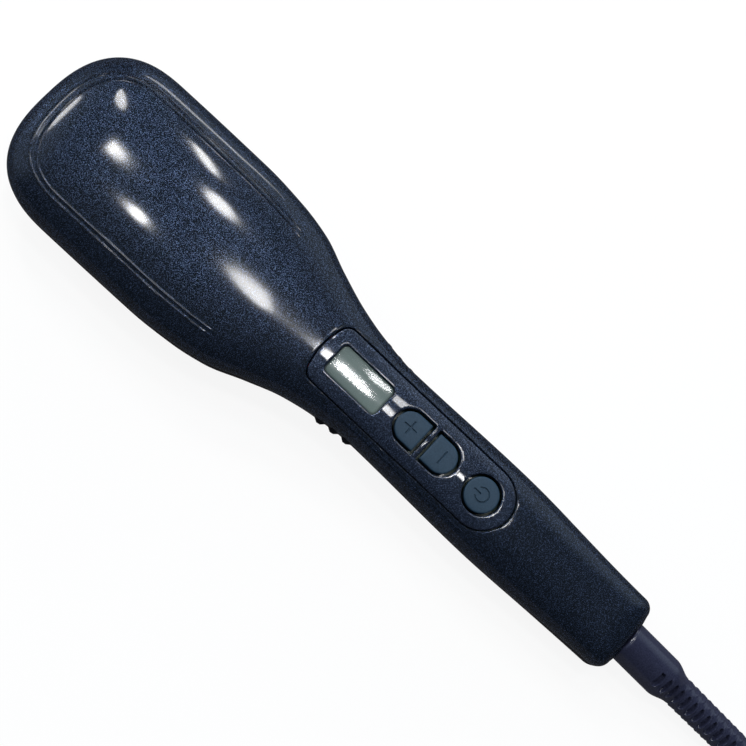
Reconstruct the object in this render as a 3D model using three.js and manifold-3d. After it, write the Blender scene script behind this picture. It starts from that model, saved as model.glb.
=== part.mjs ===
// Heated styling brush: a paddle head with heated teeth, a slim handle with a display and
// three push buttons, and a mains cord that leaves the handle through a swivel.
// Millimetres, +Z up. The head tip points to -X and the cord leaves towards +X. The controls
// face up and the teeth point down. The brush stands on its tooth tips and on its heel.

import * as THREE from 'three';
import { mergeVertices } from 'three/addons/utils/BufferGeometryUtils.js';
import Module from 'manifold-3d';

const wasm = await Module();
wasm.setup();

// Clearance between two pieces that touch or run on each other
const GAP = 0.3;

// Vertices closer than this are one vertex after a cut
const WELD = 1e-3;

// Plan of the body, measured along the brush from the head tip
const HEAD_LENGTH = 108;
const NECK_LENGTH = 57;
const HANDLE_LENGTH = 122;
const HEAD_WIDTH = 72.2;
const NECK_WIDTH = 34.2;
const HANDLE_WIDTH = 36;
const END_WIDTH = 30.8;
const TIP_REACH = 34;
const TIP_EXPONENT = 2.6;
const END_REACH = 15;
const END_CORNER_RADIUS = 5.5;
const END_BOW = 1.2;
const BODY_LENGTH = HEAD_LENGTH + NECK_LENGTH + HANDLE_LENGTH;

// Side profile: heights above the surface that the brush lies on
const HEAD_TOP = 39.9;
const NECK_TOP = 37.1;
const HANDLE_TOP = 32.7;
const END_TOP = 28.2;
const HEAD_PARTING = 25.6;
const HANDLE_PARTING = 20.9;
const END_PARTING = 17.2;
const HEAD_FLOOR = 16;
const NECK_FLOOR = 8.5;
const HANDLE_FLOOR = 3.8;
const FLAT_CUT = 0.6;
const HEAD_SIDE_TAPER = 0.3;
const TIP_DROP = 3.9;
const HEAD_SHOULDER_DROP = 1.4;
const HEAD_END_DROP = 1.1;
const NECK_RISE = 0.4;
const TIP_PARTING_DROP = 1.2;
const NECK_PARTING_RISE = 0.6;
const TIP_FLOOR_RISE = 1.4;

// Cross sections are superellipses, rounder along the handle and squarer at the ends
const UPPER_EXPONENT = 2.4;
const GRIP_EXPONENT = 2.4;
const FRAME_EXPONENT = 6;
const END_EXPONENT = 4;
const WALL = 2.6;

// Raised bead round the panel on the back of the head, as shares of the half width
const BEAD_POSITION = 0.725;
const BEAD_WIDTH = 1.8;
const BEAD_HEIGHT = 0.5;

// Finger ribs under the neck
const RIB_COUNT = 3;
const RIB_PITCH = 5.8;
const RIB_WIDTH = 3.4;
const RIB_HEIGHT = 1;
const RIB_START = 150;

// Control panel let into the top of the handle
const PANEL_START = 133.6;
const PANEL_LENGTH = 91.2;
const PANEL_WIDTH = 23.6;
const PANEL_CORNER_RADIUS = 4.5;
const PANEL_BOW = 2;
const PANEL_THICKNESS = 1.4;
const PANEL_LEDGE = 1.6;

// Display window, its place measured along the panel from the panel's head end
const WINDOW_CENTRE = 19;
const WINDOW_LENGTH = 24.2;
const WINDOW_WIDTH = 12.5;
const WINDOW_CORNER_RADIUS = 1.8;
const LENS_SINK = 0.25;
const LENS_THICKNESS = 1.5;
const LENS_FLANGE = 1.2;
const DISPLAY_THICKNESS = 2;
const BACKLIGHT_TRIM = 0.6;

// Push buttons: two D shapes back to back, and a round one
const BRIDGE_CENTRE = 51;
const BRIDGE_WIDTH = 1.9;
const D_LENGTH = 13.3;
const D_WIDTH = 13.7;
const POWER_CENTRE = 77.8;
const POWER_HOLE_DIAMETER = 14.9;
const BUTTON_CLEARANCE = 0.5;
const BUTTON_SINK = 0.1;
const BUTTON_TRAVEL = 0.8;
const BUTTON_FLANGE = 1;
const BUTTON_FLANGE_BOTTOM = 3.8;
const SWITCH_SIZE = 6.2;
const SWITCH_HEIGHT = 3.5;
const PLUNGER_DIAMETER = 3.4;
const PLUNGER_LENGTH = 2.9;

// Circuit board, hung under the buttons
const BOARD_START = 7;
const BOARD_LENGTH = 96;
const BOARD_WIDTH = 23;
const BOARD_THICKNESS = 1.6;
const BOARD_POST_RADIUS = 3;
const BOARD_POST_SHARES = [0.16, 0.9];
const TRIAC = { fromEnd: 34, length: 16, low: -8, high: 2, height: 4.5 };
const CAPACITOR = { fromEnd: 52, length: 14, radius: 4, side: -5 };
const CONNECTOR = { fromStart: 2, length: 7, halfWidth: 9, height: 6 };

// Heated side of the head
const PLATE_INSET = 8.2;
const PLATE_END = 110;
const PLATE_LEDGE = 1.5;
const PLATE_THICKNESS = 2;
const ROW_COUNT = 10;
const FIRST_ROW = 18;
const ROW_PITCH = 9.6;
const RAIL_WIDTH = 3.4;
const RAIL_HEIGHT = 1.8;
const TOOTH_PITCH = 6.5;
const TOOTH_ROOT_RADIUS = 1.5;
const TOOTH_NECK_RADIUS = 0.85;
const TOOTH_TIP_RADIUS = 1.25;
const TOOTH_FLAT_SHARE = 0.6;
const TOOTH_TAPER_SHARE = 2.2;
const TOOTH_SIDES = 5;
const HEATER_LENGTH = 62;
const HEATER_WIDTH = 12;
const HEATER_THICKNESS = 2.5;
const HEATER_SPREAD = 20;
const STACK_START = 20;
const HEATER_OFFSET = 2;
const FUSE_OFFSET = 2;
const HOLD_POST = { shares: [0.2, 0.8], spread: 16, radius: 2.5, sides: 8 };
const HEATER_LEAD = { radius: 0.8, sides: 8, steps: 14, straight: 8, bend: 24, rise: 3, runIn: 12 };
const CLAMP_LENGTH = 66;
const CLAMP_WIDTH = 38;
const CLAMP_THICKNESS = 1;
const SHEET_MARGIN = 2;
const SHEET_THICKNESS = 1.2;
const SHIELD_THICKNESS = 0.8;
const FUSE_RADIUS = 2;
const FUSE_LENGTH = 11;
const SENSOR_SIZE = 4;

// Screws
const SCREW_RADIUS = 1.1;
const SCREW_HEAD_RADIUS = 2;
const SCREW_HEAD_HEIGHT = 1.6;
const SCREW_LENGTH = 12;
const SCREW_SINK = 0.4;
const BOSS_RADIUS = 2.3;
const BOSS_TO_PLATE = 0.45;
const WELL_FLOOR = 2;
const HANDLE_SCREW_STATIONS = [125, 243];
const HEAD_SCREW_STATIONS = [36, 90];
const SEAM_STATION = 118;

// Swivel and strain relief on the cord's exit
const SWIVEL_PITCH = THREE.MathUtils.degToRad(10);
const SLEEVE_RADIUS = 8;
const SLEEVE_LENGTH = 24;
const RELIEF_RADIUS = 5.15;
const RELIEF_LENGTH = 38;
const SHOULDER_LENGTH = 4;
const SHOULDER_ROUND = 0.7;
const SHOULDER_SLOTS = 2;
const SHOULDER_SLOT_DROP = 0.35;
const RELIEF_TAPER = 0.4;
const BOOT_SEGMENTS = 14;
const SLEEVE_CLEARANCE = 1.2;
const SLOT_PITCH = 3.4;
const SLOT_LENGTH = 1.6;
const SLOT_WIDTH = 6;
const SLOT_ROLL = THREE.MathUtils.degToRad(18);
const SLOT_DEPTH = 2.1;
const SHAFT_RADIUS = 3.2;
const FLANGE_RADIUS = 4.9;
const FLANGE_THICKNESS = 2;
const STUB_RADIUS = 2.4;
const STUB_LENGTH = 15;
const SLIP_RING_RADIUS = 4.2;
const SLIP_RING_WIDTH = 2;
const SLIP_RING_FIRST = 5;
const SLIP_RING_PITCH = 6;
const CONTACT = { height: 3, margin: 3, halfWidth: 6, bladeHalfLength: 0.8, bladeReach: 3 };
const CRADLE_THICKNESS = 2.4;
const BUSH_RADIUS = 6.2;
const BUSH_LIP = 2;
const BUSH_FRONT = -6.5;
const SLEEVE_ROOT = -2.5;

// Mains cord and plug
const CORD_DIAMETER = 6;
const COIL_RADIUS = 49;
const COIL_PITCH = 6.45;
const COIL_TURNS_PER_LAYER = 3.375;
const COIL_CENTRE = new THREE.Vector2(139.9, -4);
const COIL_START_ANGLE = THREE.MathUtils.degToRad(150);
const COIL_STEPS_PER_TURN = 24;
const COIL_CLIMB_TUCK = 1.2;
const COIL_SIDES = 6;
const CORD_SIDES = 10;
const CORD_STEPS = 11;
const PLUG_WIDTH = 35.3;
const PLUG_HEIGHT = 13.7;
const PLUG_NECK_RADIUS = 5.5;
const PLUG_LENGTH = 36;
const PLUG_BEVEL = 2;
const PLUG_WAIST_SHARE = 0.6;
const PLUG_FLARE_SHARE = 0.35;
const PLUG_SHOULDER_SHARE = 0.62;
const PIN_RADIUS = 2;
const PIN_LENGTH = 19;
const PIN_SPACING = 18.6;
const PLUG_PLACE = new THREE.Vector3(206, -1, PLUG_HEIGHT / 2);

// Routes of the cord's free stretches, measured from the centre of the handle's end
const LEAD_ROUTE = [
  [61.35, 0, 6.38], [67.25, 0, 5.34], [76, 1, 4.1],
  [83.3, 4, 3.35], [89.5, 8.8, 3.05], [94.3, 15, 3],
];
const TAIL_ROUTE = [
  [169.9, 35.3, 9.45], [176, 31.8, 9.4], [187, 25, 8.6], [198, 16.5, 7.4],
  [204.8, 7.5, 6.9], [206, 2, 6.85], [206, -0.7, 6.85],
];

// Reach of a cutting block past everything that it cuts
const BEYOND = 150;

// Segments of curves: round the panel, round small corners and round small turned pieces
const PANEL_SEGMENTS = 8;
const CORNER_SEGMENTS = 3;
const SMALL_SEGMENTS = 12;

const FINISHES = {
  gloss: { color: 0x171b26, roughness: 0.12, metalness: 0.1 },
  grip: { color: 0x181a22, roughness: 0.3, metalness: 0 },
  key: { color: 0x38434f, roughness: 0.6, metalness: 0 },
  rubber: { color: 0x1c1e2c, roughness: 0.7, metalness: 0 },
  glass: { color: 0xb9c4bd, roughness: 0.05, metalness: 0 },
  screen: { color: 0x7f8a80, roughness: 0.3, metalness: 0 },
  white: { color: 0xe6e6e0, roughness: 0.5, metalness: 0 },
  teeth: { color: 0x22242c, roughness: 0.45, metalness: 0 },
  plate: { color: 0x2b2d36, roughness: 0.35, metalness: 0.5 },
  ceramic: { color: 0xd8d2c4, roughness: 0.6, metalness: 0 },
  mica: { color: 0xb89b6a, roughness: 0.6, metalness: 0 },
  steel: { color: 0xb8bcc2, roughness: 0.3, metalness: 0.9 },
  brass: { color: 0xc2a04e, roughness: 0.3, metalness: 0.9 },
  board: { color: 0x1f6a3c, roughness: 0.5, metalness: 0 },
  wire: { color: 0xa02a22, roughness: 0.5, metalness: 0 },
};

// Monotone cubic curve through [station, value] points, level beyond both ends
function smoothLine(points) {
  const count = points.length;
  const slopes = [];
  for (let i = 0; i < count - 1; i += 1) {
    slopes.push((points[i + 1][1] - points[i][1]) / (points[i + 1][0] - points[i][0]));
  }
  const tangents = points.map((point, i) => {
    if (i === 0 || i === count - 1) return 0;
    const before = slopes[i - 1];
    const after = slopes[i];
    return before * after <= 0 ? 0 : (2 * before * after) / (before + after);
  });
  return (station) => {
    const x = THREE.MathUtils.clamp(station, points[0][0], points[count - 1][0]);
    let i = 0;
    while (i < count - 2 && x > points[i + 1][0]) i += 1;
    const span = points[i + 1][0] - points[i][0];
    const u = (x - points[i][0]) / span;
    const rise = u * u * (3 - 2 * u);
    return points[i][1] * (1 - rise) + points[i + 1][1] * rise
      + span * u * (1 - u) * (tangents[i] * (1 - u) - tangents[i + 1] * u);
  };
}

const headAt = (share) => share * HEAD_LENGTH;
const neckAt = (share) => HEAD_LENGTH + share * NECK_LENGTH;
const handleAt = (share) => HEAD_LENGTH + NECK_LENGTH + share * HANDLE_LENGTH;
const between = (share) => THREE.MathUtils.lerp(HEAD_WIDTH, NECK_WIDTH, share) / 2;

const halfWidthAt = smoothLine([
  [TIP_REACH, HEAD_WIDTH / 2],
  [headAt(0.7), HEAD_WIDTH / 2 - HEAD_SIDE_TAPER],
  [headAt(0.87), between(0.09)],
  [headAt(1), between(0.23)],
  [neckAt(0.25), between(0.52)],
  [neckAt(0.5), between(0.77)],
  [neckAt(0.72), between(0.91)],
  [neckAt(1), NECK_WIDTH / 2],
  [handleAt(0.44), HANDLE_WIDTH / 2],
  [handleAt(1), END_WIDTH / 2],
]);

const topAt = smoothLine([
  [0, HEAD_TOP - TIP_DROP],
  [headAt(0.2), HEAD_TOP - HEAD_SHOULDER_DROP],
  [headAt(0.6), HEAD_TOP],
  [headAt(1), HEAD_TOP - HEAD_END_DROP],
  [neckAt(0.25), NECK_TOP + NECK_RISE],
  [neckAt(0.45), NECK_TOP],
  [neckAt(1), THREE.MathUtils.lerp(NECK_TOP, HANDLE_TOP, 0.3)],
  [handleAt(0.5), HANDLE_TOP],
  [handleAt(1), END_TOP],
]);

const partingAt = smoothLine([
  [0, HEAD_PARTING - TIP_PARTING_DROP],
  [headAt(0.5), HEAD_PARTING],
  [neckAt(0.1), HEAD_PARTING + NECK_PARTING_RISE],
  [neckAt(1), THREE.MathUtils.lerp(HEAD_PARTING, HANDLE_PARTING, 0.28)],
  [handleAt(0.5), HANDLE_PARTING],
  [handleAt(1), END_PARTING],
]);

const floorAt = smoothLine([
  [0, HEAD_FLOOR + TIP_FLOOR_RISE],
  [headAt(0.35), HEAD_FLOOR - FLAT_CUT],
  [headAt(1), HEAD_FLOOR - FLAT_CUT],
  [neckAt(0.45), THREE.MathUtils.lerp(HEAD_FLOOR, NECK_FLOOR, 0.7)],
  [neckAt(0.8), NECK_FLOOR],
  [handleAt(0.5), HANDLE_FLOOR],
  [handleAt(0.88), -FLAT_CUT],
  [handleAt(1), -FLAT_CUT],
]);

// The underside is cut flat under the head and at the heel
const undersideAt = (x) => Math.max(floorAt(x), x < SEAM_STATION ? HEAD_FLOOR : 0);

const exponentAbove = smoothLine([
  [BODY_LENGTH - 1.5 * END_REACH, UPPER_EXPONENT],
  [BODY_LENGTH - END_REACH / 3, END_EXPONENT],
]);
const exponentBelow = smoothLine([
  [headAt(1), FRAME_EXPONENT],
  [neckAt(0.5), GRIP_EXPONENT],
  [BODY_LENGTH - 1.5 * END_REACH, GRIP_EXPONENT],
  [BODY_LENGTH - END_REACH / 3, END_EXPONENT],
]);

// Half of the body's plan outline from the head tip to the handle's end, on the +Y side
function sideOutline(tipSteps, sideSteps) {
  const points = [];
  for (let i = 0; i <= tipSteps; i += 1) {
    const angle = (i / tipSteps) * (Math.PI / 2);
    const x = TIP_REACH * (1 - Math.max(Math.cos(angle), 0) ** (2 / TIP_EXPONENT));
    const y = (HEAD_WIDTH / 2) * Math.sin(angle) ** (2 / TIP_EXPONENT);
    points.push([i === tipSteps ? TIP_REACH : x, y]);
  }
  const cornerX = BODY_LENGTH - END_BOW - END_CORNER_RADIUS;
  for (let i = 1; i < sideSteps; i += 1) {
    const x = THREE.MathUtils.lerp(TIP_REACH, cornerX, i / sideSteps);
    points.push([x, halfWidthAt(x)]);
  }
  const cornerY = halfWidthAt(cornerX) - END_CORNER_RADIUS;
  for (let i = 0; i <= CORNER_SEGMENTS; i += 1) {
    const angle = (1 - i / CORNER_SEGMENTS) * (Math.PI / 2);
    const x = cornerX + END_CORNER_RADIUS * Math.cos(angle);
    points.push([x, cornerY + END_CORNER_RADIUS * Math.sin(angle)]);
  }
  points.push([BODY_LENGTH, 0]);
  return points;
}

// Whole outline as a loop, moved inwards by a distance. Each point keeps the place on the
// centre line that its section runs to.
function outline(inset, [tipSteps, sideSteps] = FINE_STEPS) {
  const side = sideOutline(tipSteps, sideSteps);
  const mirrored = side.slice(1, -1).reverse().map(([x, y]) => [x, -y]);
  const loop = side.concat(mirrored);
  const count = loop.length;
  return loop.map(([x, y], i) => {
    const before = loop[(i + count - 1) % count];
    const after = loop[(i + 1) % count];
    const along = new THREE.Vector2(after[0] - before[0], after[1] - before[1]).normalize();
    const centre = THREE.MathUtils.clamp(x, TIP_REACH, BODY_LENGTH - END_REACH);
    return { x: x + along.y * inset, y: y - along.x * inset, centre };
  });
}

// Height of the bead on the head's back at a share of the way from centre line to edge
function beadHeight(station, share) {
  const distance = Math.abs(share - BEAD_POSITION);
  const fade = 1 - THREE.MathUtils.smoothstep(station, headAt(0.86), headAt(1));
  return distance < BEAD_EDGE ? BEAD_HEIGHT * fade : 0;
}

const BEAD_EDGE = BEAD_WIDTH / HEAD_WIDTH;
const BEAD_FLANK = 0.004;
const FINE_STEPS = [8, 17];
const COARSE_STEPS = [5, 9];
const FINE_SHARES = [
  1, 0.985, 0.93, 0.84,
  BEAD_POSITION + BEAD_EDGE + BEAD_FLANK, BEAD_POSITION + BEAD_EDGE - BEAD_FLANK,
  BEAD_POSITION - BEAD_EDGE + BEAD_FLANK, BEAD_POSITION - BEAD_EDGE - BEAD_FLANK,
  0.5, 0.25, 0,
];
const SKIRT = 2;
const BOUNDARY_SKIRT = 8;
const LOWER_SHARES = [1, 0.97, 0.88, 0.7, 0.4, 0];
const COARSE_SHARES = [1, 0.94, 0.8, 0.5, 0];

// Closed solid under the upper skin (side 1) or over the lower skin (side -1) of the body.
// inset moves the skin inwards. skirt carries its rim past the parting line.
function skinSolid(side, inset, shares, skirt = 0) {
  const loop = outline(inset, shares === COARSE_SHARES ? COARSE_STEPS : FINE_STEPS);
  const surface = side > 0 ? topAt : floorAt;
  const exponentAt = side > 0 ? exponentAbove : exponentBelow;
  const rimRise = (GAP / 2) * side;
  const place = (point, share, height) => {
    const x = point.centre + (point.x - point.centre) * share;
    return [x, point.y * share, height(x)];
  };
  const skin = (share) => (x) => {
    const exponent = exponentAt(x);
    const shape = Math.max(1 - share ** exponent, 0) ** (1 / exponent);
    const level = partingAt(x) + rimRise;
    const bead = side > 0 && inset === 0 ? beadHeight(x, share) : 0;
    return level + (surface(x) - inset * side - level) * shape + bead;
  };
  const rim = (x) => partingAt(x) + rimRise - skirt * side;
  const rows = [loop.map((point) => place(point, 0, rim))];
  if (skirt > 0) rows.push(loop.map((point) => place(point, 1, rim)));
  for (const share of shares) rows.push(loop.map((point) => place(point, share, skin(share))));
  return gridSolid(rows);
}

// Closed geometry from rows of points, each row a loop, the first and last row folded shut
function gridSolid(rows) {
  const positions = rows.flat(2);
  const width = rows[0].length;
  const indices = [];
  for (let j = 0; j < rows.length - 1; j += 1) {
    for (let i = 0; i < width; i += 1) {
      const next = (i + 1) % width;
      const a = j * width + i;
      const b = j * width + next;
      const c = (j + 1) * width + next;
      const d = (j + 1) * width + i;
      indices.push(a, b, c, a, c, d);
    }
  }
  const geometry = new THREE.BufferGeometry();
  geometry.setAttribute('position', new THREE.Float32BufferAttribute(positions, 3));
  geometry.setIndex(indices);
  return tidy(geometry);
}

// Merges shared vertices, drops collapsed triangles and turns all faces outwards
function tidy(geometry, tolerance = WELD / 10) {
  geometry.deleteAttribute('normal');
  geometry.deleteAttribute('uv');
  const merged = mergeVertices(geometry, tolerance);
  const source = merged.index.array;
  const kept = [];
  const corner = [new THREE.Vector3(), new THREE.Vector3(), new THREE.Vector3()];
  let volume = 0;
  for (let i = 0; i < source.length; i += 3) {
    const [a, b, c] = [source[i], source[i + 1], source[i + 2]];
    if (a === b || b === c || c === a) continue;
    kept.push(a, b, c);
    [a, b, c].forEach((vertex, k) => {
      corner[k].fromBufferAttribute(merged.attributes.position, vertex);
    });
    volume += corner[0].dot(corner[1].cross(corner[2]));
  }
  merged.setIndex(volume < 0 ? kept.reverse() : kept);
  return merged;
}

// Boolean joins and cuts
function solid(geometry) {
  const clean = tidy(geometry);
  return new wasm.Manifold(new wasm.Mesh({
    numProp: 3,
    vertProperties: new Float32Array(clean.attributes.position.array),
    triVerts: new Uint32Array(clean.index.array),
  }));
}

function geometryOf(manifold) {
  const mesh = manifold.getMesh();
  const geometry = new THREE.BufferGeometry();
  geometry.setAttribute('position', new THREE.BufferAttribute(mesh.vertProperties, 3));
  geometry.setIndex(new THREE.BufferAttribute(mesh.triVerts, 1));
  return tidy(geometry, WELD);
}

// Simple closed shapes
function block(low, high) {
  const size = high.map((value, i) => value - low[i]);
  const centre = high.map((value, i) => (value + low[i]) / 2);
  return new THREE.BoxGeometry(...size).translate(...centre);
}

function prism(shape, low, high, curveSegments = 6) {
  const options = { depth: high - low, bevelEnabled: false, curveSegments };
  return new THREE.ExtrudeGeometry(shape, options).translate(0, 0, low);
}

// Solid of revolution about the X axis from [x, radius] points
function turnedX(profile, segments = 20) {
  const points = profile.map(([x, radius]) => new THREE.Vector2(radius, x));
  return new THREE.LatheGeometry(points, segments).rotateZ(-Math.PI / 2);
}

function cylinderX(length, radius) {
  return turnedX([[0, 0], [0, radius], [length, radius], [length, 0]], SMALL_SEGMENTS);
}

// Solid of revolution about the Z axis from [z, radius] points
function turnedZ(profile, segments = 10) {
  const points = profile.map(([z, radius]) => new THREE.Vector2(radius, z));
  return new THREE.LatheGeometry(points, segments).rotateX(Math.PI / 2);
}

function rod(x, y, low, high, radius, segments = 10) {
  return turnedZ([[low, 0], [low, radius], [high, radius], [high, 0]], segments).translate(x, y, 0);
}

function piece(name, geometry, finish) {
  const mesh = new THREE.Mesh(geometry, new THREE.MeshStandardMaterial(FINISHES[finish]));
  mesh.name = name;
  return mesh;
}

// The deck is a frame that follows the top of the handle under the control panel. Its origin
// is on the crown at the panel's head end, +X runs along the panel and +Z stands on it.
const deck = new THREE.Group();
const DECK_FALL = topAt(PANEL_START) - topAt(PANEL_START + PANEL_LENGTH);
deck.position.set(PANEL_START, 0, topAt(PANEL_START));
deck.rotation.y = Math.atan2(DECK_FALL, PANEL_LENGTH);
deck.updateMatrix();
const fromDeck = deck.matrix;
const toDeck = deck.matrix.clone().invert();

// Outlines on the deck
function panelShape(grow) {
  const half = PANEL_WIDTH / 2 + grow;
  const start = -grow;
  const corner = PANEL_CORNER_RADIUS + grow;
  const centre = PANEL_LENGTH - PANEL_WIDTH / 2;
  const shape = new THREE.Shape();
  shape.moveTo(start + corner, -half);
  shape.lineTo(centre, -half);
  shape.absarc(centre, 0, half, -Math.PI / 2, Math.PI / 2, false);
  shape.lineTo(start + corner, half);
  shape.quadraticCurveTo(start + PANEL_BOW / 2, half, start, half - corner);
  shape.quadraticCurveTo(start - PANEL_BOW, 0, start, corner - half);
  shape.quadraticCurveTo(start + PANEL_BOW / 2, -half, start + corner, -half);
  return shape;
}

function windowShape(grow) {
  const left = WINDOW_CENTRE - WINDOW_LENGTH / 2 - grow;
  const right = WINDOW_CENTRE + WINDOW_LENGTH / 2 + grow;
  const half = WINDOW_WIDTH / 2 + grow;
  const radius = WINDOW_CORNER_RADIUS;
  const shape = new THREE.Shape();
  shape.moveTo(left + radius, -half);
  shape.absarc(right - radius, radius - half, radius, -Math.PI / 2, 0, false);
  shape.absarc(right - radius, half - radius, radius, 0, Math.PI / 2, false);
  shape.absarc(left + radius, half - radius, radius, Math.PI / 2, Math.PI, false);
  shape.absarc(left + radius, radius - half, radius, Math.PI, 1.5 * Math.PI, false);
  return shape;
}

// D shape whose flat side faces the bridge, on the head's side (-1) or the handle's (1)
function dShape(towards, grow) {
  const flat = BRIDGE_CENTRE + towards * (BRIDGE_WIDTH / 2 - grow);
  const radius = D_WIDTH / 2 + grow;
  const centre = BRIDGE_CENTRE + towards * (BRIDGE_WIDTH / 2 + D_LENGTH - D_WIDTH / 2);
  const start = towards > 0 ? -Math.PI / 2 : Math.PI / 2;
  const shape = new THREE.Shape();
  shape.moveTo(flat, -towards * radius);
  shape.lineTo(centre, -towards * radius);
  shape.absarc(centre, 0, radius, start, start + Math.PI, false);
  shape.lineTo(flat, towards * radius);
  return shape;
}

function discShape(centre, radius) {
  const shape = new THREE.Shape();
  shape.absarc(centre, 0, radius, 0, 2 * Math.PI, false);
  return shape;
}

const BUTTONS = [
  {
    name: 'plus',
    centre: BRIDGE_CENTRE - (BRIDGE_WIDTH + D_LENGTH) / 2,
    shape: (grow) => dShape(-1, grow),
  },
  {
    name: 'minus',
    centre: BRIDGE_CENTRE + (BRIDGE_WIDTH + D_LENGTH) / 2,
    shape: (grow) => dShape(1, grow),
  },
  {
    name: 'power',
    centre: POWER_CENTRE,
    shape: (grow) => discShape(POWER_CENTRE, POWER_HOLE_DIAMETER / 2 + grow),
  },
];

// Levels on the deck, down from the crown
const DEEP = -20;
const SWITCH_TOP = -(BUTTON_FLANGE_BOTTOM + GAP + BUTTON_TRAVEL + 2 * GAP);
const SWITCH_BOTTOM = SWITCH_TOP - SWITCH_HEIGHT;
const BOARD_TOP = SWITCH_BOTTOM - GAP;
const BOARD_BOTTOM = BOARD_TOP - BOARD_THICKNESS;

// The body under its upper skin as seen from the deck, the skin lowered by a distance
function deckSkin(inset, shares = COARSE_SHARES) {
  const skirt = inset + SKIRT;
  return solid(skinSolid(1, inset, shares, skirt).applyMatrix4(toDeck));
}

function controlPanel() {
  let panel = solid(prism(panelShape(0), DEEP, -DEEP, PANEL_SEGMENTS))
    .intersect(deckSkin(0, FINE_SHARES))
    .subtract(deckSkin(PANEL_THICKNESS));
  for (const button of BUTTONS) {
    panel = panel.subtract(solid(prism(button.shape(0), DEEP, -DEEP)));
  }
  panel = panel.subtract(windowPrism(0));
  return piece('control_panel', geometryOf(panel), 'gloss');
}

function windowPrism(grow) {
  return solid(prism(windowShape(grow), DEEP, -DEEP, CORNER_SEGMENTS));
}

// Everything on the deck below a level
function belowLevel(level) {
  return solid(block([-BEYOND, -BEYOND, -BEYOND], [BEYOND, BEYOND, level]));
}

function displayPieces() {
  const skinTop = deckSkin(LENS_SINK);
  const lensFace = windowPrism(-GAP).intersect(skinTop);
  const flange = windowPrism(LENS_FLANGE).intersect(deckSkin(PANEL_THICKNESS + GAP));
  const lensBottom = -(PANEL_THICKNESS + LENS_THICKNESS);
  const lens = lensFace.add(flange).subtract(belowLevel(lensBottom));
  const displayTop = lensBottom - GAP;
  const displayBottom = displayTop - DISPLAY_THICKNESS;
  const half = WINDOW_WIDTH / 2 + LENS_FLANGE;
  const reach = WINDOW_LENGTH / 2 + LENS_FLANGE;
  const footprint = (low, high, trim) => block(
    [WINDOW_CENTRE - reach + trim, trim - half, low],
    [WINDOW_CENTRE + reach - trim, half - trim, high],
  );
  return [
    piece('display_lens', geometryOf(lens), 'glass'),
    piece('display_glass', footprint(displayBottom, displayTop, 0), 'screen'),
    piece('display_backlight', footprint(BOARD_TOP + GAP, displayBottom - GAP, BACKLIGHT_TRIM), 'white'),
  ];
}

// A button's cap stands in its hole, its flange is caught under the panel, and the plunger
// of the tactile switch follows it down into the switch.
function buttonPieces(button) {
  const cap = solid(prism(button.shape(-BUTTON_CLEARANCE), DEEP, -DEEP))
    .intersect(deckSkin(BUTTON_SINK));
  const flange = solid(prism(button.shape(BUTTON_FLANGE - BUTTON_CLEARANCE), DEEP, -DEEP))
    .intersect(deckSkin(PANEL_THICKNESS + GAP));
  const below = belowLevel(-BUTTON_FLANGE_BOTTOM);
  const trimmed = button.name === 'power' ? flange : flange.subtract(solid(bridgeRelief()));
  const plungerTop = -(BUTTON_FLANGE_BOTTOM + GAP);
  const plunger = rod(0, 0, plungerTop - PLUNGER_LENGTH, plungerTop, PLUNGER_DIAMETER / 2);
  const plungerMesh = piece(`${button.name}_switch_plunger`, plunger, 'white');
  plungerMesh.position.x = button.centre;
  return [
    piece(`${button.name}_button`, geometryOf(cap.add(trimmed).subtract(below)), 'key'),
    plungerMesh,
  ];
}

// Space between the flanges of the two D buttons
function bridgeRelief() {
  return block([BRIDGE_CENTRE - GAP, -BEYOND, DEEP], [BRIDGE_CENTRE + GAP, BEYOND, -DEEP]);
}

function switchCan(button) {
  const half = SWITCH_SIZE / 2;
  const depth = PLUNGER_LENGTH + GAP + BUTTON_TRAVEL;
  const boreBottom = -(BUTTON_FLANGE_BOTTOM + GAP) - depth;
  const can = solid(block([-half, -half, SWITCH_BOTTOM], [half, half, SWITCH_TOP]))
    .subtract(solid(rod(0, 0, boreBottom, 0, PLUNGER_DIAMETER / 2 + GAP)));
  const mesh = piece(`${button.name}_switch`, geometryOf(can), 'grip');
  mesh.position.x = button.centre;
  return mesh;
}

function boardPieces() {
  const half = BOARD_WIDTH / 2;
  const end = BOARD_START + BOARD_LENGTH;
  const under = BOARD_BOTTOM - GAP;
  const board = block([BOARD_START, -half, BOARD_BOTTOM], [end, half, BOARD_TOP]);
  const triacStart = end - TRIAC.fromEnd;
  const triac = block(
    [triacStart, TRIAC.low, under - TRIAC.height],
    [triacStart + TRIAC.length, TRIAC.high, under],
  );
  const capacitor = cylinderX(CAPACITOR.length, CAPACITOR.radius)
    .translate(end - CAPACITOR.fromEnd, CAPACITOR.side, under - CAPACITOR.radius);
  const connectorStart = BOARD_START + CONNECTOR.fromStart;
  const connector = block(
    [connectorStart, -CONNECTOR.halfWidth, under - CONNECTOR.height],
    [connectorStart + CONNECTOR.length, CONNECTOR.halfWidth, under],
  );
  return [
    piece('circuit_board', board, 'board'),
    piece('power_triac', triac, 'grip'),
    piece('filter_capacitor', capacitor, 'steel'),
    piece('heater_connector', connector, 'white'),
  ];
}

// Screws that hold the shells: two on the handle's centre line and four round the head
const HANDLE_SCREWS = HANDLE_SCREW_STATIONS.map((x) => [x, 0]);
const besidePlate = (x) => halfWidthAt(x) - PLATE_INSET + BOSS_TO_PLATE + BOSS_RADIUS;
const HEAD_SCREWS = HEAD_SCREW_STATIONS.flatMap((x) => [[x, besidePlate(x)], [x, -besidePlate(x)]]);
const ALL_SCREWS = HANDLE_SCREWS.concat(HEAD_SCREWS);

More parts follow.
